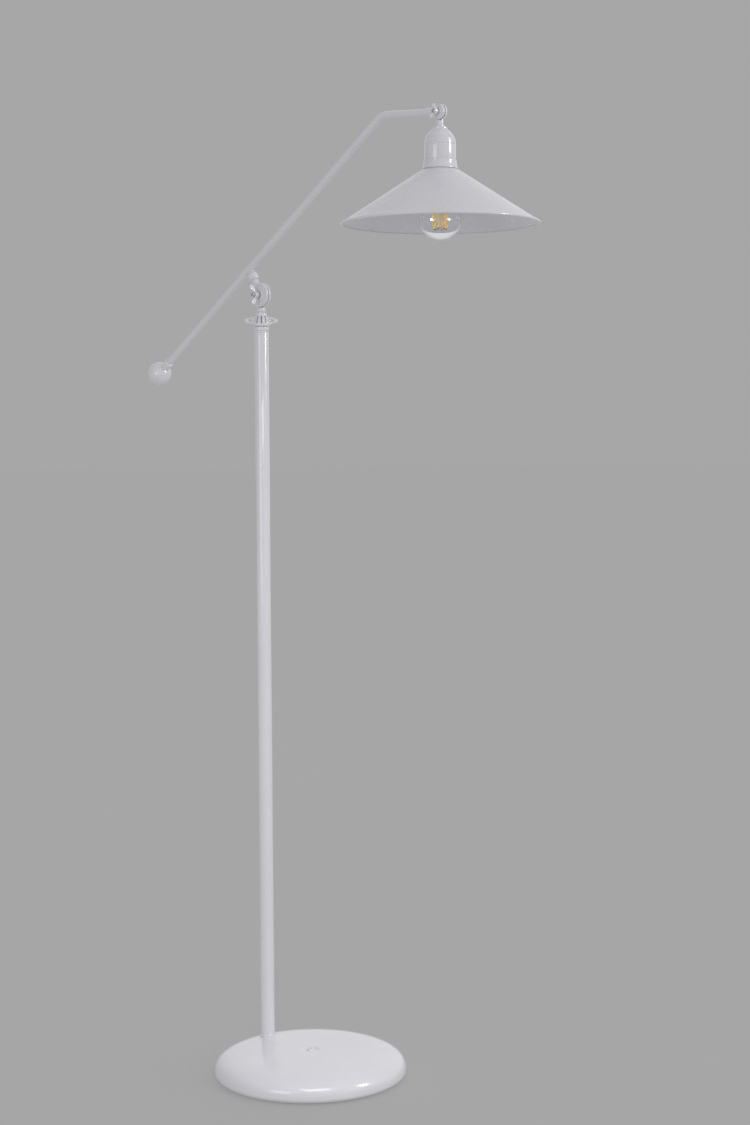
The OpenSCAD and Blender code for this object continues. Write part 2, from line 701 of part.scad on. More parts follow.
module head_disc() color(white) at_head() difference() {
  union() {
    knuckle_disc(head_r, head_disc_t, head_bolt_r, 1);
    rotate([180, 0, 0]) knuckle_neck(head_r, head_neck_r, cap_drop - fit_gap, -1);
    translate([0, 0, cap_top + fit_gap]) cylinder(r = head_neck_r + 1.6, h = 3);
    translate([0, 0, cap_top - 12]) cylinder(r = head_thread_r, h = 13);
  }
  translate([0, 0, cap_top - 20]) cylinder(r = head_thread_bore_r, h = 20 + cap_drop - head_r - 2.5);
}

module head_bolt() color(steel) at_head()
  knuckle_bolt(head_bolt_r, head_disc_t, disc_gap / 2 + head_disc_t + boss_t + 9.5, 4.6, 2.6);

module head_friction_washer() color(black) at_head()
  friction_washer(head_r - 1.6, head_r * 0.6 + 0.5);

module head_flat_washer() color(steel) at_head() flat_washer(5, head_bolt_r, head_disc_t);

module head_wing_nut() color(white) at_head() at_nut(head_disc_t)
  rotate([0, 0, 70]) wing_nut(head_bolt_r, head_wing_span, 2.4);

// Outer outline of the cap: a flat top, then part of an ellipse down to the body
function cap_outline(over) =
  let (reach = cap_h + 9.5)
  [for (z = [0:cap_h / 14:cap_h + 0.001])
    let (s = (reach - z) / reach)
    [max((holder_r - 0.3) * sqrt(1 - s * s) - over, cap_flat_r - over), cap_top - z]];

module holder_cap() color(white) at_head() difference() {
  rotate_extrude() polygon(concat([[0, cap_top]], cap_outline(0), [[0, cap_bottom]]));
  translate([0, 0, -holder_wall])
    rotate_extrude() polygon(concat([[0, cap_top]], cap_outline(holder_wall), [[0, cap_bottom]]));
  translate([0, 0, cap_bottom - 5]) cylinder(r = holder_r - 3, h = 5.5);
  translate([0, 0, cap_top - 5]) cylinder(r = head_thread_r + fit_gap, h = 10);
}

module cap_nut() color(steel) at_head() translate([0, 0, cap_top - holder_wall - 5 - fit_gap])
  hex_nut(14, head_thread_r + fit_gap, 5);

module holder_body() color(white) at_head() difference() {
  rotate_extrude() polygon([
    [0, cap_bottom - fit_gap], [holder_r - 1.8, cap_bottom - fit_gap],
    [holder_r - 1.3, cap_bottom - 0.8], [holder_r - 0.7, cap_bottom - 4],
    [holder_r - 0.2, cap_bottom - 7.5], [holder_r, cap_bottom - 9],
    [holder_r - bead, cap_bottom - 9.8], [holder_r - bead, cap_bottom - 10.8],
    [holder_r, cap_bottom - 11.6], [holder_r, body_bottom + 8],
    [holder_r - bead, body_bottom], [0, body_bottom]
  ]);
  translate([0, 0, body_bottom - 1]) cylinder(r = body_bore_r, h = body_h - lip_t + 1);
  translate([0, 0, body_bottom]) cylinder(r = lip_r, h = body_h + 5);
}

module holder_core() color("ivory") at_head() difference() {
  translate([0, 0, core_bottom]) cylinder(r = skirt_r - skirt_wall - fit_gap, h = core_h);
  for (s = [-1, 1]) translate([s * 10, 0, core_bottom - 1]) cylinder(r = 1.6, h = core_h + 2);
  translate([0, 0, core_bottom - 1]) cylinder(r = 2, h = core_h + 2);
}

module holder_screw_shell() color("goldenrod") at_head() difference() {
  translate([0, 0, screw_bottom - 2])
    cylinder(r = screw_r + 1.1, h = core_bottom - screw_bottom + 2 - fit_gap);
  translate([0, 0, screw_bottom - 5]) cylinder(r = screw_r + 0.6, h = core_bottom - screw_bottom + 9);
}

module centre_contact() color("goldenrod") at_head() union() {
  translate([0, 0, bulb_contact + fit_gap]) cylinder(r = 3, h = 0.6);
  translate([0, 0, bulb_contact + 0.6]) cylinder(r = 1.9, h = core_h);
}

module holder_skirt() color(white) at_head() translate([0, 0, skirt_bottom])
  ring(skirt_r, skirt_r - skirt_wall, skirt_top - skirt_bottom);

module shade_collar() color(white) at_head() difference() {
  rotate_extrude() polygon([
    [0, body_bottom - fit_gap], [holder_r + 0.4, body_bottom - fit_gap],
    [holder_r + 0.9, body_bottom - 1], [holder_r + 0.9, body_bottom - 4.2],
    [holder_r + 1.3, body_bottom - 6.5], [holder_r + 1.9, body_bottom - 9],
    [holder_r + collar_flare, collar_bottom + 0.8], [holder_r + collar_flare, collar_bottom + fit_gap],
    [0, collar_bottom + fit_gap]
  ]);
  translate([0, 0, collar_bottom - 1]) cylinder(r = skirt_r + fit_gap, h = collar_h + 5);
}

module shade() color(white) at_head() difference() {
  union() {
    rotate_extrude() polygon([
      [0, shade_top], [shade_top_r, shade_top], [shade_r - rim_r, shade_bottom + 2 * rim_r],
      [shade_r - rim_r, shade_bottom + rim_r], [0, shade_bottom + rim_r]
    ]);
    translate([0, 0, shade_bottom + rim_r]) rotate_extrude()
      translate([shade_r - rim_r, 0]) circle(r = rim_r, $fn = 32);
  }
  rotate_extrude() polygon([
    [0, shade_top - shade_wall], [shade_top_r - 0.6, shade_top - shade_wall],
    [shade_r - rim_r - 1.2, shade_bottom + 2 * rim_r - 0.4], [shade_r - rim_r - 1.2, shade_bottom - 5],
    [0, shade_bottom - 5]
  ]);
  translate([0, 0, shade_top - 5]) cylinder(r = shade_hole_r, h = 10);
}

module shade_ring() color(white) at_head()
  translate([0, 0, shade_top - shade_wall - shade_ring_h - fit_gap])
    ring(skirt_r + 3, skirt_r + fit_gap, shade_ring_h);

// ---------- bulb ----------

// Outline of the globe and its neck, from the tip up into the screw cap. The neck leaves the
// globe along its tangent at the shoulder and comes in straight at the cap
function bulb_outline(over) =
  let (r = bulb_r - over, neck_r = bulb_neck_r - over)
  let (r0 = r * cos(shoulder_angle), z0 = bulb_centre + r * sin(shoulder_angle))
  let (rise = screw_bottom - z0, pull = -rise * tan(shoulder_angle))
  concat(
    [[0, bulb_centre - r]],
    [for (t = [-84:6:shoulder_angle]) [r * cos(t), bulb_centre + r * sin(t)]],
    [for (i = [1:neck_steps])
      let (s = i / neck_steps, ease = s * s * (3 - 2 * s))
      [r0 + (neck_r - r0) * ease + pull * s * (1 - s) * (1 - s), z0 + rise * s]],
    [[neck_r, glass_top + over * eps], [0, glass_top + over * eps]]
  );

module bulb_glass() color("lightblue", 0.4) at_head() difference() {
  rotate_extrude() polygon(bulb_outline(0));
  rotate_extrude() polygon(bulb_outline(glass_t));
}

module bulb_cap() color(steel) at_head() difference() {
  union() {
    translate([0, 0, screw_bottom]) cylinder(r = screw_r, h = screw_h);
    translate([0, 0, screw_top - eps]) cylinder(r1 = screw_r, r2 = 9, h = 1.6);
  }
  translate([0, 0, screw_bottom - 1]) cylinder(r = screw_r - 0.6, h = screw_h + 0.4);
  translate([0, 0, screw_top - 2]) cylinder(r = cap_eye_r, h = 5);
}

module bulb_tip_insulator() color(black) at_head() union() {
  translate([0, 0, screw_top + fit_gap]) cylinder(r = cap_eye_r - fit_gap, h = 1.6);
  translate([0, 0, screw_top + 1.6])
    cylinder(r1 = cap_eye_r - fit_gap, r2 = tip_r, h = bulb_contact - tip_t - screw_top - 1.6);
}

module bulb_tip_contact() color(steel) at_head() translate([0, 0, bulb_contact - tip_t + fit_gap])
  cylinder(r1 = tip_r, r2 = tip_r - 0.6, h = tip_t - fit_gap);

module bulb_stem() color("lightblue", 0.5) at_head() union() {
  translate([0, 0, stem_flare_z]) cylinder(r1 = 3, r2 = 8, h = glass_top - stem_flare_z);
  translate([0, 0, filament_low + 3]) cylinder(r = glass_rod_r, h = stem_flare_z - filament_low - 2);
}

// A round bar from p to q
module strut(p, q, r) {
  run = q - p;
  translate(p) rotate([0, acos(run[2] / norm(run)), atan2(run[1], run[0])])
    cylinder(r = r, h = norm(run), $fn = 24);
}

module at_filament(i) at_head() rotate([0, 0, filament_turn + i * 360 / filament_count]) children();

module bulb_filaments() color("gold") for (i = [0:filament_count - 1]) at_filament(i)
  strut([filament_low_ring, 0, filament_low], [filament_high_ring, 0, filament_high], filament_r);

module bulb_lead_wires() color(steel) for (i = [0:filament_count - 1]) at_filament(i) {
  strut([glass_rod_r + lead_r + fit_gap, 0, filament_low + 4],
        [filament_low_ring, 0, filament_low - filament_r - lead_r - fit_gap], lead_r);
  strut([3.4 + lead_r, 0, stem_flare_z + 1.2],
        [filament_high_ring + 0.2, 0, filament_high + lead_r + 0.2], lead_r);
}

// ---------- wires ----------

module stem_wires() color(black) for (s = [-1, 1]) translate([0, s * wire_offset, 0]) {
  at_stem() translate([0, 0, grommet_z + wire_turn_r])
    cylinder(r = wire_r, h = spigot_z - 3 - grommet_z - wire_turn_r);
  at_stem() translate([-wire_turn_r, 0, grommet_z + wire_turn_r]) rotate([90, 0, 0])
    rotate([0, 0, -90]) rotate_extrude(angle = 90) translate([wire_turn_r, 0]) circle(r = wire_r);
  translate([-base_r + 8, 0, grommet_z]) rotate([0, 90, 0])
    cylinder(r = wire_r, h = stem_inset - wire_turn_r - 8);
}

module swivel_wires() color(black) for (s = [-1, 1]) at_stem()
  translate([0, s * wire_offset, spigot_z + 1])
    cylinder(r = wire_r, h = tilt_z - tilt_r - spigot_z - 6);

// Both conductors, from inside the upper knuckle's neck along the arm to the head
module arm_wires() color(black) on_arm() for (s = [-1, 1]) {
  translate([0, s * wire_offset, wire_start_z])
    cylinder(r = wire_r, h = arm_rise - arm_wire_turn_r - wire_start_z);
  translate([arm_wire_turn_r, s * wire_offset, arm_rise - arm_wire_turn_r]) rotate([90, 0, 0])
    rotate([0, 0, 90]) rotate_extrude(angle = 90)
      translate([arm_wire_turn_r, 0]) circle(r = wire_r);
  arm_run(wire_r, arm_wire_turn_r, tube_stop + 1, s * wire_offset);
}

module head_wires() color(black) for (s = [-1, 1]) at_head()
  translate([0, s * wire_offset, core_bottom + core_h + 1])
    cylinder(r = wire_r, h = -head_r - 4 - core_bottom - core_h);

base_cover();
base_weight();
bottom_plate();
floor_pad();
plate_screws();
centre_screw();
centre_nut();
cable_grommet();
foot_ferrule();
foot_plug();
foot_nipple();
foot_washer();
foot_nut();
stem_tube();
stem_hub();
swivel_bush();
spigot_clip();
crown_nut();
lower_knuckle();
tilt_bolt();
tilt_friction_washer();
tilt_flat_washer();
tilt_wing_nut();
upper_knuckle();
arm_coupling();
arm_saddle();
arm_tube();
tail_collar();
tail_set_screw();
tail_stud();
counterweight_ball();
arm_end_disc();
head_disc();
head_bolt();
head_friction_washer();
head_flat_washer();
head_wing_nut();
holder_cap();
cap_nut();
holder_body();
holder_core();
holder_screw_shell();
centre_contact();
holder_skirt();
shade_collar();
shade();
shade_ring();
bulb_glass();
bulb_cap();
bulb_tip_insulator();
bulb_tip_contact();
bulb_stem();
bulb_filaments();
bulb_lead_wires();
stem_wires();
swivel_wires();
arm_wires();
head_wires();
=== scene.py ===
# %% [markdown]
# # An adjustable arm floor lamp
#
# The lamp is a domed weighted base, a tall stem standing behind the base's centre, a swivel
# locked by a winged ring nut, a bent arm balanced by a ball, and a cone shade over a clear
# globe bulb. The engineering model fixes every size and every joint. This notebook gives the
# lamp its finish: smooth spun and cast shapes, gloss enamel, zinc-plated fasteners, clear glass
# and yellow filaments. Everything here is in metres, in the engineering model's own frame: the
# floor is at zero and the arm reaches towards +X.

# %% Load the frame
import json
import math

import bmesh
import bpy
from mathutils import Matrix, Vector


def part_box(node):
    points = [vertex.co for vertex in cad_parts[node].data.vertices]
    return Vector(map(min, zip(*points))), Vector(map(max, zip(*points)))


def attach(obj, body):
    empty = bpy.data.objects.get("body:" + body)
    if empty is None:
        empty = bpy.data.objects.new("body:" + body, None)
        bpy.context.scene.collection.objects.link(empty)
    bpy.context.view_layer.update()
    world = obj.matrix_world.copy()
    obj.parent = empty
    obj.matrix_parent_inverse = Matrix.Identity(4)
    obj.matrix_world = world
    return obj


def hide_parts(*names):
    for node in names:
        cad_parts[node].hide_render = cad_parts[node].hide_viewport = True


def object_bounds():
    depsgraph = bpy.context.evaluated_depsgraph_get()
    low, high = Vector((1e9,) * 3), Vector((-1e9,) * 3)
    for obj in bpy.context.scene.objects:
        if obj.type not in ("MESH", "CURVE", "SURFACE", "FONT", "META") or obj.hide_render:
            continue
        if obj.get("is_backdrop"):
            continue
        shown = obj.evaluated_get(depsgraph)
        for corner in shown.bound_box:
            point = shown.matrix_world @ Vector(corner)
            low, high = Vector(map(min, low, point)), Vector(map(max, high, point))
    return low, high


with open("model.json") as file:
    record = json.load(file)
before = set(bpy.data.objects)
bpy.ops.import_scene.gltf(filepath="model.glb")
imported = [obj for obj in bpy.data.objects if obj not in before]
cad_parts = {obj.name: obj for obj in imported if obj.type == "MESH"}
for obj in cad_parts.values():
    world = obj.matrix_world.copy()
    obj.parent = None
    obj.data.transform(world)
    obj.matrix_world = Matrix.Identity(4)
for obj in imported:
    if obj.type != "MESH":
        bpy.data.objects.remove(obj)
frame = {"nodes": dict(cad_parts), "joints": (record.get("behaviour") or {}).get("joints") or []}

cad_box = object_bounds()
print("CAD box, metres:", [[round(v, 4) for v in corner] for corner in cad_box])

# %% [markdown]
# ## Where things are
#
# Each joint's place comes from the record and each node's place from its own box, so a later
# change of size carries through. The arm has a frame of its own: X runs along the long straight
# tube and Z points away from the tilt axis. Outlines are drawn in millimetres, as on a workshop
# drawing, and `mm` shrinks them to metres when a piece is put in place.

# %% Axes and frames
mm = Matrix.Scale(0.001, 4)


def move(x=0.0, y=0.0, z=0.0):
    return Matrix.Translation(Vector((x, y, z)))


def turned(degrees, axis):
    return Matrix.Rotation(math.radians(degrees), 4, axis)


def low(name):
    """A node's lowest corner, in millimetres."""
    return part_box(name)[0] * 1000


def high(name):
    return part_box(name)[1] * 1000


def heights(name, origin=0.0):
    """A node's lowest and highest heights, in millimetres above an origin given in metres."""
    return low(name).z - origin * 1000, high(name).z - origin * 1000


joints = {joint["name"]: joint for joint in frame["joints"]}
tilt = Vector(joints["arm_tilt"]["pos_m"])
head = Vector(joints["head_tilt"]["pos_m"])
coupling_way = (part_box("arm_coupling")[0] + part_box("arm_coupling")[1]) / 2 - tilt
arm_slope = round(math.degrees(math.atan2(-coupling_way.x, coupling_way.z)) * 2) / 2
end_droop = 5.0
at_base = mm
at_stem = move(tilt.x) @ mm
at_tilt = Matrix.Translation(tilt) @ mm
on_arm = Matrix.Translation(tilt) @ turned(-arm_slope, "Y") @ mm
at_head = Matrix.Translation(head) @ mm
on_arm_end = Matrix.Translation(head) @ turned(end_droop, "Y") @ mm
along_x = turned(90, "Y")          # what points along +Z now points along +X
to_front = turned(90, "X")         # +Z now points along -Y, where the wing nuts are
upside_down = turned(180, "X")
print("arm slope, degrees:", round(arm_slope, 2))
print("tilt axis", [round(v, 4) for v in tilt], "head axis", [round(v, 4) for v in head])

# %% [markdown]
# ## The camera
#
# A long lens at about chest height, looking a little down, from the arm's front right quarter.
# It is set before anything else, so that every piece can be judged from the same place. The
# camera leans by a third of a degree, as a hand-levelled tripod does.

# %% Set up the camera
camera_data = bpy.data.cameras.new("camera")
camera = bpy.data.objects.new("camera", camera_data)
bpy.context.scene.collection.objects.link(camera)
bpy.context.scene.camera = camera
camera_data.sensor_fit = "VERTICAL"
camera_data.sensor_height = 36.0
camera_data.lens = 63.209
camera_data.clip_end = 200
yaw, pitch, lean = (math.radians(a) for a in (136.8555, -3.4741, 0.333))
forward = Vector((math.cos(yaw) * math.cos(pitch), math.sin(yaw) * math.cos(pitch), math.sin(pitch)))
aim = forward.to_track_quat("-Z", "Y").to_matrix().to_4x4()
camera.matrix_world = move(2.3020, -2.0126, 0.9921) @ aim @ Matrix.Rotation(-lean, 4, "Z")
print("camera height", round(camera.matrix_world.translation.z, 3), "lens", camera_data.lens)

# %% [markdown]
# ## Shaping helpers
#
# Most of this lamp is turned, spun or cast. A turned or spun piece is a flat outline swept
# round an axis, so `lathe` does most of the work. `eased` rounds the outline's corners first,
# because a real edge always has a small radius and that radius is what catches the light.

# %% Outlines and the lathe
def eased(points, radius, steps=4, closed=True):
    """A flat outline with each corner rounded. A point may carry its own radius as a third number."""
    out = []
    count = len(points)
    for i, point in enumerate(points):
        corner = Vector(point[:2])
        wanted = point[2] if len(point) > 2 else radius
        before = Vector(points[i - 1][:2]) - corner
        after = Vector(points[(i + 1) % count][:2]) - corner
        loose_end = not closed and i in (0, count - 1)
        if wanted <= 0 or loose_end or min(before.length, after.length) < 1e-9:
            out.append(corner)
            continue
        reach = min(wanted, before.length * 0.48, after.length * 0.48)
        first = corner + before.normalized() * reach
        last = corner + after.normalized() * reach
        for k in range(steps + 1):
            t = k / steps
            out.append(first * (1 - t) ** 2 + corner * 2 * t * (1 - t) + last * t * t)
    return out


def lathe(outline, steps=96, closed=True, start=0.0, turn=360.0):
    """Sweeps (radius, height) points round Z. A part turn gets flat ends."""
    bm = bmesh.new()
    full = turn >= 359.999
    columns = steps if full else steps + 1
    angles = [math.radians(start + turn * i / steps) for i in range(columns)]
    rings = []
    for radius, height in outline:
        on_axis = radius < 1e-7
        spots = [(0, 0)] if on_axis else [(radius * math.cos(a), radius * math.sin(a)) for a in angles]
        rings.append([bm.verts.new((x, y, height)) for x, y in spots])
    pairs = list(zip(rings, rings[1:]))
    if closed:
        pairs.append((rings[-1], rings[0]))
    for one, two in pairs:
        for i in range(steps):
            j = (i + 1) % columns
            corners = [one[i % len(one)], one[j % len(one)], two[j % len(two)], two[i % len(two)]]
            kept = [v for k, v in enumerate(corners) if v not in corners[:k]]
            if len(kept) > 2:
                bm.faces.new(kept)
    if not full:
        for column in (0, -1):
            bm.faces.new([ring[column % len(ring)] for ring in rings])
    bmesh.ops.remove_doubles(bm, verts=bm.verts, dist=1e-8)
    bmesh.ops.recalc_face_normals(bm, faces=bm.faces)
    return bm


def rod(radius, bottom, top, steps):
    return lathe([(0, bottom), (radius, bottom), (radius, top), (0, top)], steps)


def tube_outline(outer, inner, bottom, top, edge):
    return eased([(inner, bottom), (outer, bottom), (outer, top), (inner, top)], edge, 3)


def sweep(path, radius, sides, bore=0.0):
    """A round bar, or a tube with a bore, along a list of points."""
    bm = bmesh.new()
    points = [Vector(p) for p in path]
    side = Vector((0, 1, 0))
    loops = []
    for i, point in enumerate(points):
        along = (points[min(i + 1, len(points) - 1)] - points[max(i - 1, 0)]).normalized()
        side = (side - along * side.dot(along)).normalized()
        up = along.cross(side)
        loops.append([[bm.verts.new(point + (side * math.cos(a) + up * math.sin(a)) * r)
                       for a in (2 * math.pi * k / sides for k in range(sides))]
                      for r in ((radius, bore) if bore else (radius,))])
    walls = [pair for first, second in zip(loops, loops[1:]) for pair in zip(first, second)]
    ends = [loops[0], loops[-1]]
    for one, two in walls + (ends if bore else []):
        for k in range(sides):
            j = (k + 1) % sides
            bm.faces.new([one[k], one[j], two[j], two[k]])
    if not bore:
        for end in ends:
            bm.faces.new(end[0])
    bmesh.ops.recalc_face_normals(bm, faces=bm.faces)
    return bm


def plate(outline, thickness, edge, hole=None):
    """A flat plate standing in the XZ plane, with rounded rims. hole is an outline to leave open."""
    bm = bmesh.new()
    half = thickness / 2
    loops = [outline] + ([hole] if hole else [])
    for y in (-half, half):
        edges = []
        for loop in loops:
            verts = [bm.verts.new((p[0], y, p[1])) for p in loop]
            edges += [bm.edges.new((a, b)) for a, b in zip(verts, verts[1:] + verts[:1])]
        bmesh.ops.triangle_fill(bm, edges=edges, use_beauty=True)
    bm.verts.ensure_lookup_table()
    start = 0
    total = sum(len(loop) for loop in loops)
    rims = []
    for loop in loops:
        n = len(loop)
        for k in range(n):
            a, b = bm.verts[start + k], bm.verts[start + (k + 1) % n]
            c, d = bm.verts[total + start + (k + 1) % n], bm.verts[total + start + k]
            bm.faces.new([a, b, c, d])
            rims += [bm.edges.get((a, b)), bm.edges.get((c, d))]
        start += n
    bmesh.ops.recalc_face_normals(bm, faces=bm.faces)
    bmesh.ops.bevel(bm, geom=rims, offset=edge, segments=3, affect="EDGES", profile=0.5)
    return bm


def placed(bm, place):
    bmesh.ops.transform(bm, matrix=place, verts=bm.verts)
    return bm


def joined(*pieces):
    """One bmesh from several, each given alone or as (bmesh, matrix)."""
    out = bmesh.new()
    for piece in pieces:
        bm, place = piece if isinstance(piece, tuple) else (piece, Matrix())
        mesh = bpy.data.meshes.new("part")
        bm.to_mesh(mesh)
        bm.free()
        mesh.transform(place)
        out.from_mesh(mesh)
        bpy.data.meshes.remove(mesh)
    return out


# %% [markdown]
# ## From shape to piece
#
# `piece` turns a shape into an object: it sets the place, the finish, smooth shading with crisp
# corners, the body that it rides on and the engineering node that it stands for. `fused` is for
# cast pieces such as wing nuts, where several forms melt into one: a voxel remesh joins them,
# and a little smoothing gives the fillets that a casting has.

# %% Making pieces
def as_object(bm, name):
    mesh = bpy.data.meshes.new(name)
    bm.to_mesh(mesh)
    bm.free()
    obj = bpy.data.objects.new(name, mesh)
    bpy.context.scene.collection.objects.link(obj)
    return obj


def piece(name, bm, finish, body, place, stands_for, crisp=35.0):
    obj = as_object(bm, name)
    mesh = obj.data
    mesh.transform(place)
    mesh.shade_smooth()
    mesh.set_sharp_from_angle(angle=math.radians(crisp))
    mesh.materials.append(finish)
    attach(obj, body)
    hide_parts(*stands_for)
    corners = [[pick(v.co[k] for v in mesh.vertices) for k in range(3)] for pick in (min, max)]
    off = max(abs(a - b) for c, d in zip(corners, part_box(stands_for[0])) for a, b in zip(c, d)) * 1000
    print(f"{name}: {len(mesh.polygons)} faces, box within {off:.2f} mm of the model's")
    return obj


def made_real(obj, *others):
    """The shape that obj's modifiers give. The objects used for it are cleared away."""
    graph = bpy.context.evaluated_depsgraph_get()
    done = bpy.data.meshes.new_from_object(obj.evaluated_get(graph))
    out = bmesh.new()
    out.from_mesh(done)
    bpy.data.meshes.remove(done)
    for used in (obj, *others):
        mesh = used.data
        bpy.data.objects.remove(used)
        bpy.data.meshes.remove(mesh)
    return out


def fused(bm, voxel, rounds):
    """Melts overlapping closed forms into one skin, then softens it."""
    obj = as_object(bm, "cast")
    melt = obj.modifiers.new("melt", "REMESH")
    melt.mode = "VOXEL"
    melt.voxel_size = voxel
    soften = obj.modifiers.new("soften", "SMOOTH")
    soften.iterations = rounds
    soften.factor = 0.5
    return made_real(obj)


def cut(bm, *tools):
    """Takes tool shapes out of a shape, exactly."""
    body = as_object(bm, "stock")
    cutters = [as_object(tool, "cutter") for tool in tools]
    for cutter in cutters:
        step = body.modifiers.new("cut", "BOOLEAN")
        step.operation = "DIFFERENCE"
        step.solver = "EXACT"
        step.object = cutter
    return made_real(body, *cutters)


def block(size, place):
    """A plain box, used only as a cutting tool."""
    bm = bmesh.new()
    bmesh.ops.create_cube(bm, size=1.0)
    bmesh.ops.scale(bm, vec=Vector(size), verts=bm.verts)
    return placed(bm, place)


def around(points):
    """The convex outline round a set of flat points, as a cord pulled tight would go."""
    points = sorted(set(points))
    sides = []
    for run in (points, points[::-1]):
        side = []
        for p in run:
            while len(side) > 1 and ((side[-1][0] - side[-2][0]) * (p[1] - side[-2][1])
                                     <= (side[-1][1] - side[-2][1]) * (p[0] - side[-2][0])):
                side.pop()
            side.append(p)
        sides += side[:-1]
    return sides


def disc_points(x, y, radius, count=28):
    turns = (2 * math.pi * i / count for i in range(count))
    return [(round(x + radius * math.cos(a), 5), round(y + radius * math.sin(a), 5)) for a in turns]


print("helpers ready")

# %% [markdown]
# ## Finishes
#
# A finish is a material with grain at the right size. The effects that several finishes share
# are node groups, made once: a fine skin (the faint orange peel and drift of colour that every
# coat of paint and every moulding has), worn edges, settled dust and the brushed look of worked
# metal. A group only puts out colours and values. The shader itself stays in each material.

# %% Node helpers
def add(tree, kind, inputs=None, **settings):
    node = tree.nodes.new(kind)
    for key, value in settings.items():
        setattr(node, key, value)
    for key, value in (inputs or {}).items():
        if isinstance(value, bpy.types.NodeSocket):
            tree.links.new(value, node.inputs[key])
        else:
            node.inputs[key].default_value = value
    return node


def spread(tree, value, from_low, from_high, to_low=0.0, to_high=1.0):
    """Stretches one range of values over another."""
    return add(tree, "ShaderNodeMapRange", {"Value": value, "From Min": from_low, "From Max": from_high,
                                            "To Min": to_low, "To Max": to_high}).outputs["Result"]


def multiply(tree, a, b):
    return add(tree, "ShaderNodeMath", {0: a, 1: b}, operation="MULTIPLY").outputs[0]


def blend_colour(tree, share, a, b):
    return add(tree, "ShaderNodeMix", {0: share, 6: a, 7: b}, data_type="RGBA").outputs[2]


def noise(tree, place, scale, detail):
    return add(tree, "ShaderNodeTexNoise", {"Vector": place, "Scale": scale, "Detail": detail}).outputs[0]


def group(name, takes, gives):
    """An empty node group with named sockets. takes lists (name, kind, value)."""
    tree = bpy.data.node_groups.new(name, "ShaderNodeTree")
    for label, kind, value in takes:
        socket = tree.interface.new_socket(name=label, in_out="INPUT", socket_type="NodeSocket" + kind)
        if value is not None:
            socket.default_value = value
    for label, kind in gives:
        tree.interface.new_socket(name=label, in_out="OUTPUT", socket_type="NodeSocket" + kind)
    return tree, tree.nodes.new("NodeGroupInput").outputs, tree.nodes.new("NodeGroupOutput").inputs


def grey(value, warm=0.0):
    return (value * (1 + warm), value, value * (1 - warm), 1.0)


# %% [markdown]
# ### Fine skin
#
# Slow noise drifts the colour a little between two near shades, middling noise varies the gloss,
# and fine noise gives the height of the orange peel.

# %% The fine skin group
fine_skin, takes, gives = group(
    "fine skin",
    [("Place", "Vector", None), ("Colour", "Color", grey(0.8)), ("Second colour", "Color", grey(0.7)),
     ("Peel size", "Float", 600.0), ("Gloss low", "Float", 0.2), ("Gloss high", "Float", 0.3)],
    [("Colour", "Color"), ("Roughness", "Float"), ("Height", "Float")])
t = fine_skin
drift = spread(t, noise(t, takes["Place"], 14.0, 4.0), 0.35, 0.65)
smudge = noise(t, takes["Place"], 90.0, 3.0)
t.links.new(blend_colour(t, drift, takes["Colour"], takes["Second colour"]), gives["Colour"])
t.links.new(spread(t, smudge, 0.35, 0.65, takes["Gloss low"], takes["Gloss high"]), gives["Roughness"])
t.links.new(noise(t, takes["Place"], takes["Peel size"], 1.5), gives["Height"])
print("fine skin:", len(t.nodes), "nodes")

# %% [markdown]
# ### Worn edges and settled dust
#
# A rounded-off normal differs from the true one only where a surface turns sharply, whatever
# the mesh. Broken up by noise, that difference gives the thin rubbed line on the edges of a used
# thing, and leaves slim tubes alone. Dust lies where a surface looks up, thicker in patches.

# %% The wear and dust groups
worn_edges, takes, gives = group(
    "worn edges",
    [("Place", "Vector", None), ("Colour", "Color", grey(0.8)), ("Worn colour", "Color", grey(0.5))],
    [("Colour", "Color")])
t = worn_edges
rounded = add(t, "ShaderNodeBevel", {"Radius": 0.00022}, samples=4).outputs[0]
true_normal = add(t, "ShaderNodeNewGeometry").outputs["Normal"]
likeness = add(t, "ShaderNodeVectorMath", {0: rounded, 1: true_normal}, operation="DOT_PRODUCT")
sharpness = add(t, "ShaderNodeMath", {0: 1.0, 1: likeness.outputs["Value"]}, operation="SUBTRACT").outputs[0]
patches = spread(t, noise(t, takes["Place"], 220.0, 3.0), 0.42, 0.6)
worn = multiply(t, spread(t, sharpness, 0.04, 0.3), patches)
t.links.new(blend_colour(t, worn, takes["Colour"], takes["Worn colour"]), gives["Colour"])

settled_dust, takes, gives = group(
    "settled dust",
    [("Place", "Vector", None), ("Colour", "Color", grey(0.8)), ("Roughness", "Float", 0.3),
     ("Dust colour", "Color", grey(0.6)), ("Amount", "Float", 0.1)],
    [("Colour", "Color"), ("Roughness", "Float")])
t = settled_dust
normal = add(t, "ShaderNodeSeparateXYZ", {0: add(t, "ShaderNodeNewGeometry").outputs["Normal"]})
upward = spread(t, normal.outputs["Z"], 0.35, 0.95)
patches = spread(t, noise(t, takes["Place"], 30.0, 2.0), 0.3, 0.7)
dusty = multiply(t, multiply(t, upward, patches), takes["Amount"])
t.links.new(blend_colour(t, dusty, takes["Colour"], takes["Dust colour"]), gives["Colour"])
rougher = add(t, "ShaderNodeMath", {0: dusty, 1: takes["Roughness"]}, operation="ADD")
t.links.new(rougher.outputs[0], gives["Roughness"])
print("worn edges:", len(worn_edges.nodes), "nodes; settled dust:", len(t.nodes), "nodes")

# %% [markdown]
# ### Worked metal
#
# A lathe or a brush leaves lines. Noise pressed flat across one direction gives them, and turns
# up in both the gloss and the height.

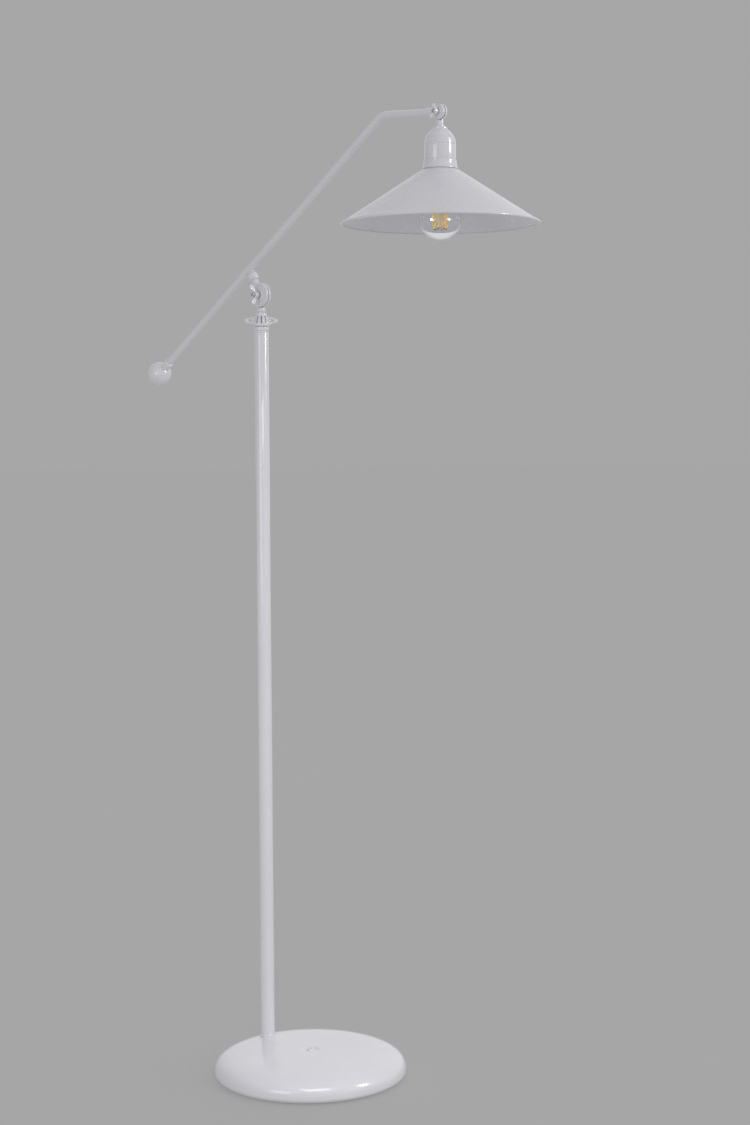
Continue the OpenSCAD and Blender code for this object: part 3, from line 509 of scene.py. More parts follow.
# %% The worked metal group
worked_metal, takes, gives = group(
    "worked metal",
    [("Place", "Vector", None), ("Colour", "Color", grey(0.6)), ("Dark colour", "Color", grey(0.4)),
     ("Stretch", "Vector", (60.0, 60.0, 4000.0)), ("Gloss low", "Float", 0.2),
     ("Gloss high", "Float", 0.4)],
    [("Colour", "Color"), ("Roughness", "Float"), ("Height", "Float")])
t = worked_metal
pressed = add(t, "ShaderNodeVectorMath", {0: takes["Place"], 1: takes["Stretch"]},
              operation="MULTIPLY").outputs[0]
lines = noise(t, pressed, 1.0, 3.0)
clouds = spread(t, noise(t, takes["Place"], 120.0, 4.0), 0.35, 0.7)
t.links.new(blend_colour(t, clouds, takes["Colour"], takes["Dark colour"]), gives["Colour"])
t.links.new(spread(t, lines, 0.3, 0.7, takes["Gloss low"], takes["Gloss high"]), gives["Roughness"])
t.links.new(lines, gives["Height"])
print("worked metal:", len(t.nodes), "nodes")


# %% [markdown]
# ### The finishes themselves
#
# `skinned` makes paint, rubber, plastic and porcelain. `worked` makes the metals. The white
# enamel is a hard gloss coat over primer: nearly neutral, a touch cool, with a soft orange peel
# that only shows where a highlight crosses it.

# %% Makers of finishes
def start(name):
    material = bpy.data.materials.new(name)
    material.use_nodes = True
    tree = material.node_tree
    place = add(tree, "ShaderNodeTexCoord").outputs["Object"]
    return material, tree, tree.nodes["Principled BSDF"], place


def use(tree, kind, inputs):
    return add(tree, "ShaderNodeGroup", inputs, node_tree=kind).outputs


def bump(tree, shader, height, strength, depth):
    relief = add(tree, "ShaderNodeBump", {"Height": height, "Strength": strength, "Distance": depth})
    tree.links.new(relief.outputs["Normal"], shader.inputs["Normal"])


def layered(name, slot, kind, looks, worn, dust, relief, **plain):
    """A material: a skin of the given kind, then wear on the edges, then dust on top."""
    material, tree, shader, place = start(name)
    skin = use(tree, kind, {"Place": place, **looks})
    shade = skin["Colour"]
    if worn:
        shade = use(tree, worn_edges, {"Place": place, "Colour": shade, "Worn colour": worn})["Colour"]
    dusty = use(tree, settled_dust, {"Place": place, "Colour": shade, "Roughness": skin["Roughness"],
                                     "Dust colour": dust[0], "Amount": dust[1]})
    tree.links.new(dusty["Colour"], shader.inputs["Base Color"])
    tree.links.new(dusty["Roughness"], shader.inputs["Roughness"])
    for label, value in plain.items():
        shader.inputs[label.replace("_", " ")].default_value = value
    bump(tree, shader, skin["Height"], *relief)
    material["slot"] = slot
    return material


def skinned(name, slot, colour, second, gloss, peel, worn=None, dust=0.1, coat=0.0):
    looks = {"Colour": colour, "Second colour": second, "Peel size": peel[0],
             "Gloss low": gloss[0], "Gloss high": gloss[1]}
    return layered(name, slot, fine_skin, looks, worn, (grey(0.42, 0.03), dust), peel[1:],
                   Coat_Weight=coat, Coat_Roughness=0.06)


def worked(name, slot, colour, dark, gloss, strength=0.08):
    looks = {"Colour": colour, "Dark colour": dark, "Gloss low": gloss[0], "Gloss high": gloss[1]}
    bright = tuple(min(1.0, c * 1.25) for c in colour[:3]) + (1,)
    return layered(name, slot, worked_metal, looks, bright, (grey(0.35, 0.05), 0.08), (strength, 0.0001),
                   Metallic=1.0)


# %% Opaque finishes
cool_white = (0.790, 0.788, 0.836, 1.0)
cool_white_second = (0.777, 0.775, 0.820, 1.0)
enamel = skinned("gloss white enamel", "white_paint", cool_white, cool_white_second, (0.16, 0.24),
                 peel=(260.0, 0.02, 0.0002), worn=(0.70, 0.69, 0.70, 1), dust=0.03, coat=0.9)
cast_enamel = skinned("enamel over casting", "white_paint", cool_white, cool_white_second,
                      (0.20, 0.32), peel=(500.0, 0.04, 0.0002), worn=(0.62, 0.61, 0.61, 1),
                      dust=0.05, coat=0.4)
shade_enamel = skinned("enamel of the shade", "shade_paint", (0.785, 0.782, 0.832, 1),
                       (0.772, 0.769, 0.816, 1), (0.22, 0.30), peel=(240.0, 0.015, 0.0002),
                       worn=(0.71, 0.70, 0.71, 1), dust=0.05, coat=0.35)
rubber = skinned("black rubber", "rubber", grey(0.022), grey(0.034), (0.55, 0.75),
                 peel=(1400.0, 0.3, 0.0003), worn=grey(0.09), dust=0.12)
nylon = skinned("pale nylon", "nylon", (0.62, 0.61, 0.56, 1), (0.55, 0.54, 0.49, 1), (0.35, 0.5),
                peel=(1500.0, 0.15, 0.0002))
porcelain = skinned("porcelain", "porcelain", (0.80, 0.79, 0.75, 1), (0.74, 0.73, 0.69, 1),
                    (0.15, 0.3), peel=(300.0, 0.12, 0.0003), coat=0.3)
moulding = skinned("moulded plastic", "moulding", cool_white, cool_white_second, (0.3, 0.42),
                   peel=(1800.0, 0.12, 0.0002), dust=0.08)
black_glass = skinned("black glass", "black_glass", (0.012, 0.012, 0.016, 1), (0.02, 0.02, 0.024, 1),
                      (0.08, 0.16), peel=(200.0, 0.1, 0.0002), dust=0.03)
wire_cover = skinned("wire cover", "wire_cover", (0.10, 0.10, 0.11, 1), (0.07, 0.07, 0.075, 1),
                     (0.4, 0.5), peel=(1500.0, 0.15, 0.0002))
cast_iron = skinned("cast iron", "iron", (0.075, 0.072, 0.07, 1), (0.045, 0.042, 0.04, 1), (0.55, 0.8),
                    peel=(500.0, 0.6, 0.0006), worn=(0.16, 0.15, 0.145, 1))
steel = worked("zinc-plated steel", "steel", (0.66, 0.67, 0.68, 1), (0.52, 0.53, 0.53, 1), (0.22, 0.38))
cap_metal = worked("nickelled bulb cap", "cap_metal", (0.70, 0.70, 0.70, 1), (0.58, 0.58, 0.57, 1),
                   (0.16, 0.3), strength=0.05)
brass = worked("brass", "brass", (0.78, 0.57, 0.27, 1), (0.62, 0.43, 0.19, 1), (0.2, 0.34))
print(len(bpy.data.materials), "finishes so far")

# %% [markdown]
# ### Clear glass and filaments
#
# The globe is clear blown glass: real transmission with a thin wall, so that it bends little
# and shows bright rims. A breath of waviness keeps the highlights from looking machined. Each
# filament is a thin rod under a yellow phosphor, a little uneven along its length. The phosphor
# is also made to glow faintly in its own colour: painted light, since the lamp is off.

# %% Glass and phosphor
def clear_glass(name, waviness):
    material, tree, shader, place = start(name)
    shader.inputs["Base Color"].default_value = (0.985, 0.99, 0.99, 1)
    shader.inputs["Transmission Weight"].default_value = 1.0
    shader.inputs["IOR"].default_value = 1.46
    breath = spread(tree, noise(tree, place, 60.0, 3.0), 0.45, 0.75, 0.0, 0.05)
    tree.links.new(breath, shader.inputs["Roughness"])
    bump(tree, shader, noise(tree, place, 45.0, 1.0), waviness, 0.0006)
    material["slot"] = "glass"
    return material


globe_glass = clear_glass("clear blown glass", 0.04)
stem_glass = clear_glass("pressed stem glass", 0.25)

phosphor, tree, shader, place = start("yellow phosphor")
skin = use(tree, fine_skin, {"Place": place, "Colour": (0.93, 0.60, 0.06, 1),
                             "Second colour": (0.88, 0.48, 0.03, 1), "Peel size": 1500.0,
                             "Gloss low": 0.45, "Gloss high": 0.6})
tree.links.new(skin["Colour"], shader.inputs["Base Color"])
tree.links.new(skin["Roughness"], shader.inputs["Roughness"])
shader.inputs["Subsurface Weight"].default_value = 0.15
shader.inputs["Subsurface Scale"].default_value = 0.0008
bump(tree, shader, skin["Height"], 0.3, 0.0002)
# Painted light: a faint glow in the phosphor's own colour, though the lamp is off.
tree.links.new(skin["Colour"], shader.inputs["Emission Color"])
shader.inputs["Emission Strength"].default_value = 0.3
phosphor["slot"] = "phosphor"
# The lead wires are simply given a dark grey finish.
dark_wire = worked("dark lead wire", "steel", (0.20, 0.19, 0.18, 1), (0.10, 0.095, 0.09, 1), (0.3, 0.5))
print("glass and phosphor ready")

# %% [markdown]
# ## The base
#
# The cover is spun from one disc of sheet steel over a former: a low dome whose edge turns
# tightly under, with a shallow dimple in the middle for the screw that holds the iron weight.
# Its outline is two superellipse arcs, so the curve eases into the edge without a visible join.
# The wall has thickness, and the cable hole is cut right through it.

# %% The domed cover
base_r = high("base_cover").x
base_h = high("base_cover").z
edge_z = 9.0
wall = 1.5
tuck = 8.0


def dome(over, inner, steps=64):
    """From near the middle round the widest line to the turned-under edge, smaller by over."""
    r, h = base_r - over, base_h - over
    spots = [(r * math.cos(a) ** 0.42, edge_z + (h - edge_z) * math.sin(a) ** 0.75)
             for a in (math.pi / 2 * i / steps for i in range(steps - 1, -1, -1))]
    spots = [p for p in spots if p[0] > inner + 2.5]
    spots += [(r - tuck * (1 - math.cos(a)), edge_z - (edge_z - 2.0) * math.sin(a))
              for a in (math.pi / 2 * i / 14 for i in range(1, 15))]
    return spots


dimple = eased([(3.5, base_h - 2.2), (10, base_h - 2.2, 1.5), (14, base_h - 0.05, 1.8), (17, base_h)],
               1.0, 6, closed=False)
under = eased([(15.5, base_h - wall - 0.05), (11.5, base_h - 3.7, 1), (3.5, base_h - 3.7)], 1.0, 4,
              closed=False)
cover = lathe([*dimple, *dome(0, 15.0), *reversed(dome(wall, 14.0)), *under], steps=224)
grommet_z = sum(heights("cable_grommet")) / 2
cable_hole = placed(rod(4.95, 0, 12, 48), move(-base_r - 5, 0, grommet_z) @ along_x)
foot_z = low("foot_ferrule").z
foot_seat = lathe(eased([(0, foot_z - 4.5), (12.5, foot_z - 4.5), (12.5, foot_z, 0.4), (0, foot_z)],
                        0, 4), 96)
cover_with_seat = joined(cut(cover, cable_hole), (foot_seat, move(tilt.x * 1000)))
piece("spun_cover", cover_with_seat, enamel, "base", at_base, ["base_cover"])

# %% [markdown]
# The screw in the dimple is a painted truss-head with a cross recess. The floor pad is cut from
# rubber sheet, and the grommet is one soft ring that the mains lead would pass through: its two
# flanges grip the wall of the cover.

# %% Screw, pad and grommet
screw_z = base_h - 2.15
truss_head = lathe(eased([(0, 0), (6, 0), (5.6, 1.1, 0.8), (3.6, 3.0, 1.2), (0, 3.0)], 0.2, 5), 64)
for arms in ((6.0, 1.2, 3.0), (1.2, 6.0, 3.0)):
    truss_head = cut(truss_head, block(arms, move(0, 0, 3.05)))
shank_low = low("centre_screw").z
shank = lathe(eased([(0, shank_low), (3, shank_low, 0.6), (3, screw_z + 0.2), (0, screw_z + 0.2)], 0), 48)
piece("dimple_screw", joined((truss_head, move(0, 0, screw_z)), shank), cast_enamel, "base", at_base,
      ["centre_screw"])
pad_r = high("floor_pad").x
pad = lathe(eased([(0, 0), (pad_r, 0, 0.5), (pad_r, 2.0, 0.5), (0, 2.0)], 0, 4), 160)
piece("rubber_floor_pad", pad, rubber, "base", at_base, ["floor_pad"])
grommet_ring = lathe(eased([(3.3, -2.5, 0.5), (5.3, -2.5, 0.9), (6.3, -0.1, 0.2), (4.85, -0.1),
                            (4.85, 2.7), (5.5, 2.7, 0.5), (5.5, 4.5, 0.5), (3.3, 4.5, 0.5)], 0.1, 4), 64)
piece("lead_grommet", grommet_ring, rubber, "base", at_base @ move(-base_r, 0, grommet_z) @ along_x,
      ["cable_grommet"])

# %% [markdown]
# ## The stem
#
# A plain steel tube, drawn straight and painted. It stands on a small stepped ferrule. At its
# top the hub is a turned plug with a groove under its shoulder, and above that a threaded
# collet whose four fingers close on the spigot when the ring nut is screwed down.

# %% Ferrule, tube and hub
ferrule_low, ferrule_high = heights("foot_ferrule")
ferrule = lathe(eased([(5.4, ferrule_low), (11.9, ferrule_low), (11.9, ferrule_low + 1.4, 0.4),
                       (11.45, ferrule_low + 1.45), (11.1, ferrule_high, 0.2), (5.4, ferrule_high)], 0.1), 96)
piece("stepped_ferrule", ferrule, enamel, "base", at_stem, ["foot_ferrule"])
stem_low, stem_high = heights("stem_tube")
stem_r = (high("stem_tube").x - low("stem_tube").x) / 2
piece("painted_stem", lathe(tube_outline(stem_r, stem_r - 1.5, stem_low, stem_high, 0.3), 128), enamel,
      "base", at_stem, ["stem_tube"])

hub_low, hub_high = heights("stem_hub")
shoulder_z = stem_high + 9
collet_r, bore = 8.61, 7.01


def threads(bottom, top, radius, pitch, depth):
    """Half an outline: the crests and roots of a thread, from bottom to top."""
    turns = max(1, int((top - bottom) / pitch))
    step = (top - bottom) / turns
    spots = []
    for i in range(turns):
        z = bottom + i * step
        spots += [(radius - depth, z), (radius, z + step * 0.35), (radius, z + step * 0.55)]
    return spots + [(radius - depth, top)]


hub_body = lathe(eased([(bore, hub_low), (9.4, hub_low), (9.4, stem_high), (11.3, stem_high, 0.3),
                        (11.3, stem_high + 2.2, 0.5), (10.3, stem_high + 2.4, 0.2),
                        (10.3, stem_high + 3.4, 0.2), (11.6, stem_high + 3.6, 0.4),
                        (11.6, shoulder_z, 0.6), (collet_r, shoulder_z + 0.1), (collet_r, shoulder_z + 2),
                        (bore, shoulder_z + 2)], 0.1), 96)
fingers = [lathe([(bore, shoulder_z + 2), *threads(shoulder_z + 2, hub_high, collet_r, 1.5, 0.55),
                  (bore, hub_high)], 24, start=45 + 5 + 90 * i, turn=80) for i in range(4)]
piece("collet_hub", joined(hub_body, *fingers), cast_enamel, "base", at_stem, ["stem_hub"])

# %% [markdown]
# ## The winged ring nut
#
# A zinc casting shaped like a bell, with ten upright windows round it and two wings with an eye
# in each. The bell is turned, the windows are cut, and then bell and wings are melted into one
# skin, which gives the soft inner corners of a casting.

# %% The crown
bell = lathe(eased([(8.68, 0), (11.5, 0), (12.5, 1), (12.5, 4.5), (11.8, 9), (10.5, 13.5), (8.5, 17),
                    (8.6, 19.5), (8.0, 21), (6.5, 21), (6.5, 14.4), (8.68, 11.9)], 0.7, 4), 96)
round_ends = [(rod(1.1, 0, 14, 20), move(6.5, 0, z) @ along_x) for z in (5.2, 15.0)]
window = fused(joined(block((14, 2.2, 9.8), move(13.5, 0, 10.1)), *round_ends), 0.3, 0)
windows = []
for i in range(10):
    copy = window.copy()
    bmesh.ops.rotate(copy, matrix=Matrix.Rotation(math.radians(36 * (i + 0.5)), 3, "Z"), verts=copy.verts)
    windows.append(copy)
window.free()
bell = cut(bell, *windows)
wings = []
for side in (-1, 1):
    rim = around(disc_points(side * 9.6, 4.5, 2.9) + disc_points(side * 9.2, 13.5, 2.4)
                 + disc_points(side * 23.5, 9.0, 3.0))
    wings.append(plate(rim, 3.4, 0.8, hole=disc_points(side * 17.1, 8.8, 2.2)))
crown = fused(joined(bell, *wings), 0.32, 5)
piece("winged_ring_nut", crown, cast_enamel, "ring_nut",
      at_stem @ move(0, 0, low("crown_nut").z) @ turned(50, "Z"), ["crown_nut"], crisp=60)

# %% [markdown]
# ## The knuckles
#
# Both knuckles are alike: two discs face each other across a friction washer, a bolt runs
# through, and each disc grows a neck that stops clear of the other disc. One function makes a
# half, and the four halves differ only in size and in which way they are turned. The disc is
# turned first, so its face has a raised boss and a fine step, and the casting is then softened.

# %% Half a knuckle
def knuckle_half(disc_r, disc_t, bolt_r, neck_r, reach, voxel):
    """A disc on the front side of the middle plane with a neck along +Z."""
    inner, outer, gap = bolt_r + 0.08, bolt_r + 4, 0.75
    face = [(inner, gap), (disc_r, gap, 0.3), (disc_r, gap + disc_t - 0.9, 0.3),
            (disc_r - 1, gap + disc_t, 0.4), (disc_r - 3.0, gap + disc_t, 0.3),
            (disc_r - 3.6, gap + disc_t - 0.45, 0.3), (outer + 0.8, gap + disc_t - 0.45, 0.4),
            (outer, gap + disc_t + 1.2, 0.5), (inner, gap + disc_t + 1.2, 0.3)]
    disc = placed(lathe(eased(face, 0.2, 4), 128), to_front)
    neck = lathe(eased([(0, disc_r * 0.7), (neck_r, disc_r * 0.7), (neck_r, reach), (0, reach)], 0.25), 72)
    beside = block((4 * disc_r, 2 * disc_r, 2 * disc_r + 2.0), move(0, disc_r - gap, 0))
    return fused(joined(disc, cut(neck, beside)), voxel, 4)


tilt_disc_r = (high("lower_knuckle").x - low("lower_knuckle").x) / 2
head_disc_r = min((high("arm_end_disc").z - low("arm_end_disc").z) / 2, 11.0)
print("disc radii, mm:", round(tilt_disc_r, 2), round(head_disc_r, 2))

# %% [markdown]
# The lower half of the tilt knuckle carries the spigot that turns in the stem: a long plain
# cylinder with one thin ring above the ring nut. The upper half screws into the coupling.

# %% The tilt knuckle
spigot_low = low("lower_knuckle").z
axis_z = tilt.z * 1000
under_disc = knuckle_half(tilt_disc_r, 4.2, 3.0, 6.0, tilt_disc_r + 1.6, 0.42)
spigot = lathe(eased([(2.7, spigot_low), (6.0, spigot_low, 0.6), (6.0, axis_z - 25.5),
                      (7.2, axis_z - 25.5, 0.5), (7.2, axis_z - 22.5, 0.5), (6.0, axis_z - 22.5),
                      (6.0, axis_z - tilt_disc_r - 1.05, 0.3), (2.7, axis_z - tilt_disc_r - 1.05)], 0.1), 96)
piece("swivel_half", joined((under_disc, move(0, 0, axis_z) @ upside_down), spigot), cast_enamel,
      "swivel", at_stem, ["lower_knuckle"], crisp=45)
neck_top = tilt_disc_r + 10
stub_top = neck_top + 14.5
upper_stub = lathe([(2.4, neck_top - 1), (4.3, neck_top - 1),
                    *threads(neck_top, stub_top, 4.5, 1.2, 0.4), (2.4, stub_top)], 64)
piece("tilting_half", joined(knuckle_half(tilt_disc_r, 4.2, 3.0, 5.6, neck_top, 0.42), upper_stub),
      cast_enamel, "arm", on_arm, ["upper_knuckle"], crisp=45)

# %% [markdown]
# ### Bolts, washers and wing nuts
#
# The bolts are cup-headed and zinc plated. Only the last turns of thread show, past the nut.
# The wing nuts are small castings: a cone-shaped hub with two ears, melted together.

# %% Fasteners
def bolt(bolt_r, back, tip, head_r, head_h, pitch):
    """Along +Z, with its cup head below -back and its thread near the tip."""
    cup = [(0, -back - head_h)] + [(head_r * math.sin(a), -back - 0.6 - (head_h - 0.6) * math.cos(a))
                                   for a in (math.radians(7.5 * i) for i in range(1, 13))]
    cup[-1] = (head_r, -back - 0.6)
    thread = threads(tip - 9, tip - 0.6, bolt_r, pitch, bolt_r * 0.14)
    return lathe([*cup, (head_r - 0.2, -back), (bolt_r, -back), (bolt_r, tip - 9), *thread,
                  (bolt_r * 0.7, tip), (0, tip)], 72)


def wing_nut(bolt_r, span, wing_t, voxel):
    h = bolt_r * 2.4
    hub = lathe(eased([(bolt_r + 0.1, 0), (bolt_r * 1.88, 0, 0.3), (bolt_r * 1.56, h, 0.5),
                       (bolt_r + 0.1, h, 0.3)], 0.1), 72)
    ears = []
    tip_r = span * 0.13
    for side in (-1, 1):
        rim = around(disc_points(side * bolt_r * 1.75, bolt_r * 0.75, bolt_r * 0.45)
                     + disc_points(side * bolt_r * 1.7, h * 0.8, bolt_r * 0.42)
                     + disc_points(side * (span / 2 - tip_r), h * 1.35, tip_r))
        ears.append(plate(rim, wing_t, wing_t * 0.3))
    return fused(joined(hub, *ears), voxel, 6)


piece("tilt_cup_bolt", bolt(3.0, 6.2, -low("tilt_bolt").y, 6.4, 3.4, 1.0), steel, "swivel",
      at_tilt @ to_front, ["tilt_bolt"])
piece("head_cup_bolt", bolt(2.5, 6.0, -low("head_bolt").y, 4.6, 2.6, 0.8), steel, "head",
      at_head @ to_front, ["head_bolt"])
for name, node, place, made_of, outer, inner, back, front in (
        ("tilt_fibre_washer", "tilt_friction_washer", at_tilt, rubber, tilt_disc_r - 2.5,
         tilt_disc_r * 0.6 + 0.5, -0.43, 0.70),
        ("tilt_washer", "tilt_flat_washer", at_tilt, steel, 6.5, 3.06, 6.2, 7.4),
        ("head_fibre_washer", "head_friction_washer", at_head, rubber, head_disc_r - 1.6,
         head_disc_r * 0.6 + 0.5, -0.43, 0.70),
        ("head_washer", "head_flat_washer", at_head, steel, 5.0, 2.56, 6.0, 7.2)):
    ring = lathe(tube_outline(outer, inner, back, front, 0.12), 96)
    piece(name, ring, made_of, "arm", place @ to_front, [node])
for name, node, body, place, angle, sizes in (
        ("tilt_wings", "tilt_wing_nut", "tilt_nut", at_tilt, 100, (3.0, 32.0, 3.0, 0.32)),
        ("head_wings", "head_wing_nut", "head_nut", at_head, 70, (2.5, 21.0, 2.4, 0.26))):
    piece(name, wing_nut(*sizes), cast_enamel, body,
          place @ to_front @ move(0, 0, -high(node).y) @ turned(angle, "Z"), [node], crisp=60)

# %% [markdown]
# ## The arm
#
# One length of tube, bent once near the lamp head. The bend is swept along its centre line with
# many short steps, so the highlight runs round it without a break. A turned coupling and a cone
# saddle carry the tube on the knuckle, and a collar with a set screw holds the ball on its tail.

# %% Coupling, saddle and tube
coupling = lathe(eased([(4.55, 0.05), (6.5, 0.05), (7.9, 2, 0.5), (7.9, 4.0, 0.3), (8.5, 4.6, 0.4),
                        (8.5, 8.6, 0.8), (7.0, 11.95, 0.5), (4.55, 11.95)], 0.25, 5), 96)
piece("turned_coupling", coupling, enamel, "arm", on_arm @ move(0, 0, neck_top), ["arm_coupling"])
arm_rise = 51.0
saddle_z = neck_top + 12
saddle = lathe(eased([(2.4, saddle_z), (7.0, saddle_z, 0.3), (6.2, saddle_z + 2.2, 2.0),
                      (5.0, saddle_z + 5.5, 2.0), (4.5, arm_rise - 4.2, 0.2), (2.4, arm_rise - 4.2)],
                     0.1, 6), 96)
piece("cone_saddle", saddle, enamel, "arm", on_arm, ["arm_saddle"])
tail_x = -262.0
reach_x, bend_r, bend = 369.0, 32.0, arm_slope + end_droop
tangent = bend_r * math.tan(math.radians(bend) / 2)
end_way = Vector((math.cos(math.radians(bend)), 0, -math.sin(math.radians(bend))))
corner = Vector((reach_x, 0, arm_rise))
end_x = (on_arm.inverted() @ head - corner).length - 14
path = [Vector((tail_x + (reach_x - tangent - tail_x) * i / 24, 0, arm_rise)) for i in range(24)]
path += [Vector((reach_x - tangent + bend_r * math.sin(a), 0, arm_rise - bend_r + bend_r * math.cos(a)))
         for a in (math.radians(bend * i / 28) for i in range(29))]
path += [corner + end_way * (tangent + (end_x - tangent) * i / 6) for i in range(1, 7)]
piece("bent_arm", sweep(path, 5.0, 48, bore=4.0), enamel, "arm", on_arm, ["arm_tube"])
print("arm tube length, mm:", round(sum((b - a).length for a, b in zip(path, path[1:])), 1))

# %% Collar, set screw and ball
collar_x = tail_x - 6
tail_collar = lathe(eased([(3.05, 0), (7.2, 0, 0.5), (7.2, 3.2, 0.2), (6.8, 3.5, 0.2), (6.8, 4.1, 0.2),
                           (7.2, 4.4, 0.2), (7.2, 13.5, 0.5), (5.9, 15, 0.3), (5.05, 15), (5.05, 6),
                           (3.05, 6)], 0.1, 5), 96)
screw_hole = placed(rod(2.06, 0, 9, 40), move(0, 0, 9.5) @ turned(-90, "Y"))
piece("ball_collar", cut(tail_collar, screw_hole), enamel, "arm",
      on_arm @ move(collar_x, 0, arm_rise) @ along_x, ["tail_collar"])
set_screw = lathe(eased([(0, 0), (2, 0), (2, 2.8, 0.3), (0, 2.8)], 0.1), 48)
set_screw = cut(set_screw, block((6, 0.8, 3), move(0, 0, 3.4)))
piece("slotted_set_screw", set_screw, steel, "arm", on_arm @ move(tail_x + 3.5, 0, arm_rise + 5.1),
      ["tail_set_screw"])
ball_r = 19.0
flat = ball_r - 0.95
facing = math.acos(flat / ball_r)
profile = [(ball_r * math.sin(a), ball_r * math.cos(a)) for a in
           (facing + (math.pi - facing) * i / 72 for i in range(73))]
profile[-1] = (0, -ball_r)
ball = lathe([(0, flat - 9), (3.05, flat - 9), (3.05, flat), *profile], 128, closed=False)
piece("balance_ball", ball, enamel, "arm", on_arm @ move(collar_x - flat, 0, arm_rise) @ along_x,
      ["counterweight_ball"])

# %% [markdown]
# ## The head knuckle
#
# The same two half castings again, smaller. The arm's half ends in a socket for the tube. The
# head's half ends in a collar and a threaded stub that passes down through the lampholder's cap.

# %% The two halves at the head
arm_half = knuckle_half(head_disc_r, 4.0, 2.5, 6.4, head_disc_r + 17, 0.34)
arm_half = cut(arm_half, rod(5.06, 14, 40, 64))
piece("arm_end_half", arm_half, cast_enamel, "arm", on_arm_end @ turned(-90, "Y"), ["arm_end_disc"],
      crisp=45)
hung_half = knuckle_half(head_disc_r, 4.0, 2.5, 4.7, 21.9, 0.34)
hung_stub = lathe([(2.6, 18.9), *eased([(4.6, 18.9), (6.3, 19.0, 0.4), (6.3, 21.95, 0.4), (4.9, 21.95)],
                                       0, 4, closed=False),
                   *threads(22.4, 34.0, 4.9, 1.2, 0.4), (2.6, 34.0)], 64)
piece("hung_half", joined((hung_half, upside_down), (hung_stub, upside_down)), cast_enamel, "head",
      at_head, ["head_disc"], crisp=45)

# %% [markdown]
# ## The lampholder
#
# Three spun shells in line: a domed cap, a body with two fine rolled lines, and a flared collar
# that sits on the shade. Their small beads and grooves catch the light, so each corner of the
# outline gets its own radius.

# %% Cap, body and collar
holder_r = 22.5
cap_top, cap_bottom, body_bottom, collar_bottom = -22.0, -36.5, -68.0, -80.5


def cap_side(over):
    spots = []
    for i in range(25):
        drop = 14.5 * (i / 24) ** 1.5
        s = (24.0 - drop) / 24.0
        bulge = (holder_r - 0.3) * math.sqrt(max(0.0, 1 - s * s))
        spots.append((max(bulge - over, 10.5 - over), cap_top - drop))
    return spots


outside = cap_side(0)
inside = [(r, z - 1.0) for r, z in cap_side(1.0) if z - 1.0 > cap_bottom]
cap = lathe([(4.95, cap_top), *outside, (outside[-1][0] - 1.0, cap_bottom), *reversed(inside),
             (4.95, cap_top - 1.0)], 128)
piece("domed_cap", cap, enamel, "head", at_head, ["holder_cap"], crisp=50)
body_shell = lathe(eased([
    (18.5, cap_bottom - 0.05), (20.7, cap_bottom - 0.05, 0.4), (21.2, cap_bottom - 0.8, 0.4),
    (21.8, cap_bottom - 4, 2), (22.3, cap_bottom - 7.5, 1.5), (22.5, cap_bottom - 9, 0.5),
    (22.0, cap_bottom - 9.8, 0.3), (22.0, cap_bottom - 10.8, 0.3), (22.5, cap_bottom - 11.6, 0.5),
    (22.5, body_bottom + 8, 4), (22.0, body_bottom, 0.4), (19.9, body_bottom),
    (19.9, cap_bottom - 1.5), (18.5, cap_bottom - 1.5)], 0.1, 5), 144)
piece("rolled_body", body_shell, enamel, "head", at_head, ["holder_body"])
flare = lathe(eased([
    (19.05, body_bottom - 0.05), (22.9, body_bottom - 0.05, 0.3), (23.4, body_bottom - 1, 0.5),
    (23.4, body_bottom - 4.2, 0.8), (23.8, body_bottom - 6.5, 2), (24.4, body_bottom - 9, 2),
    (25.1, collar_bottom + 0.8, 0.4), (25.1, collar_bottom + 0.05, 0.3), (19.05, collar_bottom + 0.05)],
    0.1, 5), 144)
piece("flared_collar", flare, enamel, "head", at_head, ["shade_collar"])
skirt = tube_outline(19.0, 17.4, *heights("holder_skirt", head.z), 0.4)
piece("shade_skirt", lathe(skirt, 128), moulding, "head", at_head, ["holder_skirt"])
ring_low, ring_high = heights("shade_ring", head.z)
grips = [(19.05, ring_low), (21.4, ring_low), (22.0, ring_low + 0.6), (22.0, ring_high), (19.05, ring_high)]
piece("shade_ring_nut", lathe(eased(grips, 0.25), 128), moulding, "head", at_head, ["shade_ring"])

# %% [markdown]
# ## The shade
#
# A plain cone spun from thin steel, painted inside and out, its rim rolled outwards round a
# wire. The roll is part of the same outline: the wall runs down, goes round the bead and comes
# back up the inside, so the shell is closed and its thickness is real.

# %% The cone shade
shade_r, shade_bottom, wire = 142.5, -159.0, 1.7
roll_x, roll_z = shade_r - wire, shade_bottom + wire
bead = [(roll_x + wire * math.cos(a), roll_z + wire * math.sin(a))
        for a in (math.radians(78 - 11 * i) for i in range(26))]


def wall_line(start, end, rows):
    return [tuple(a + (b - a) * i / 20 for a, b in zip(start, end)) for i in rows]


outer_wall = wall_line((24.5, collar_bottom), (roll_x - 0.6, roll_z + wire - 0.1), range(20))
inner_wall = wall_line((roll_x - 1.2, roll_z + wire - 0.4), (23.9, collar_bottom - 0.9), range(1, 21))
shell = lathe([(19.3, collar_bottom), *outer_wall, *bead, *inner_wall, (19.3, collar_bottom - 0.9)], 256)
piece("spun_shade", shell, shade_enamel, "head", at_head, ["shade"])

# %% [markdown]
# ## The bulb
#
# The globe is one blown shell with a real wall, drawn in towards a neck that is cemented into
# the screw cap. The cap's thread is rolled into thin metal, so its wave is soft: the radius
# swings with the height and with the turn, which makes a true helix. Six yellow filament rods
# lean round a glass stem, welded to fine wires at both ends.

# %% Globe and stem
bulb_r = (high("bulb_glass").x - low("bulb_glass").x) / 2
tip_z, neck_z = heights("bulb_glass", head.z)
cap_z = neck_z - 6
globe_z = tip_z + bulb_r
shoulder = math.radians(30)


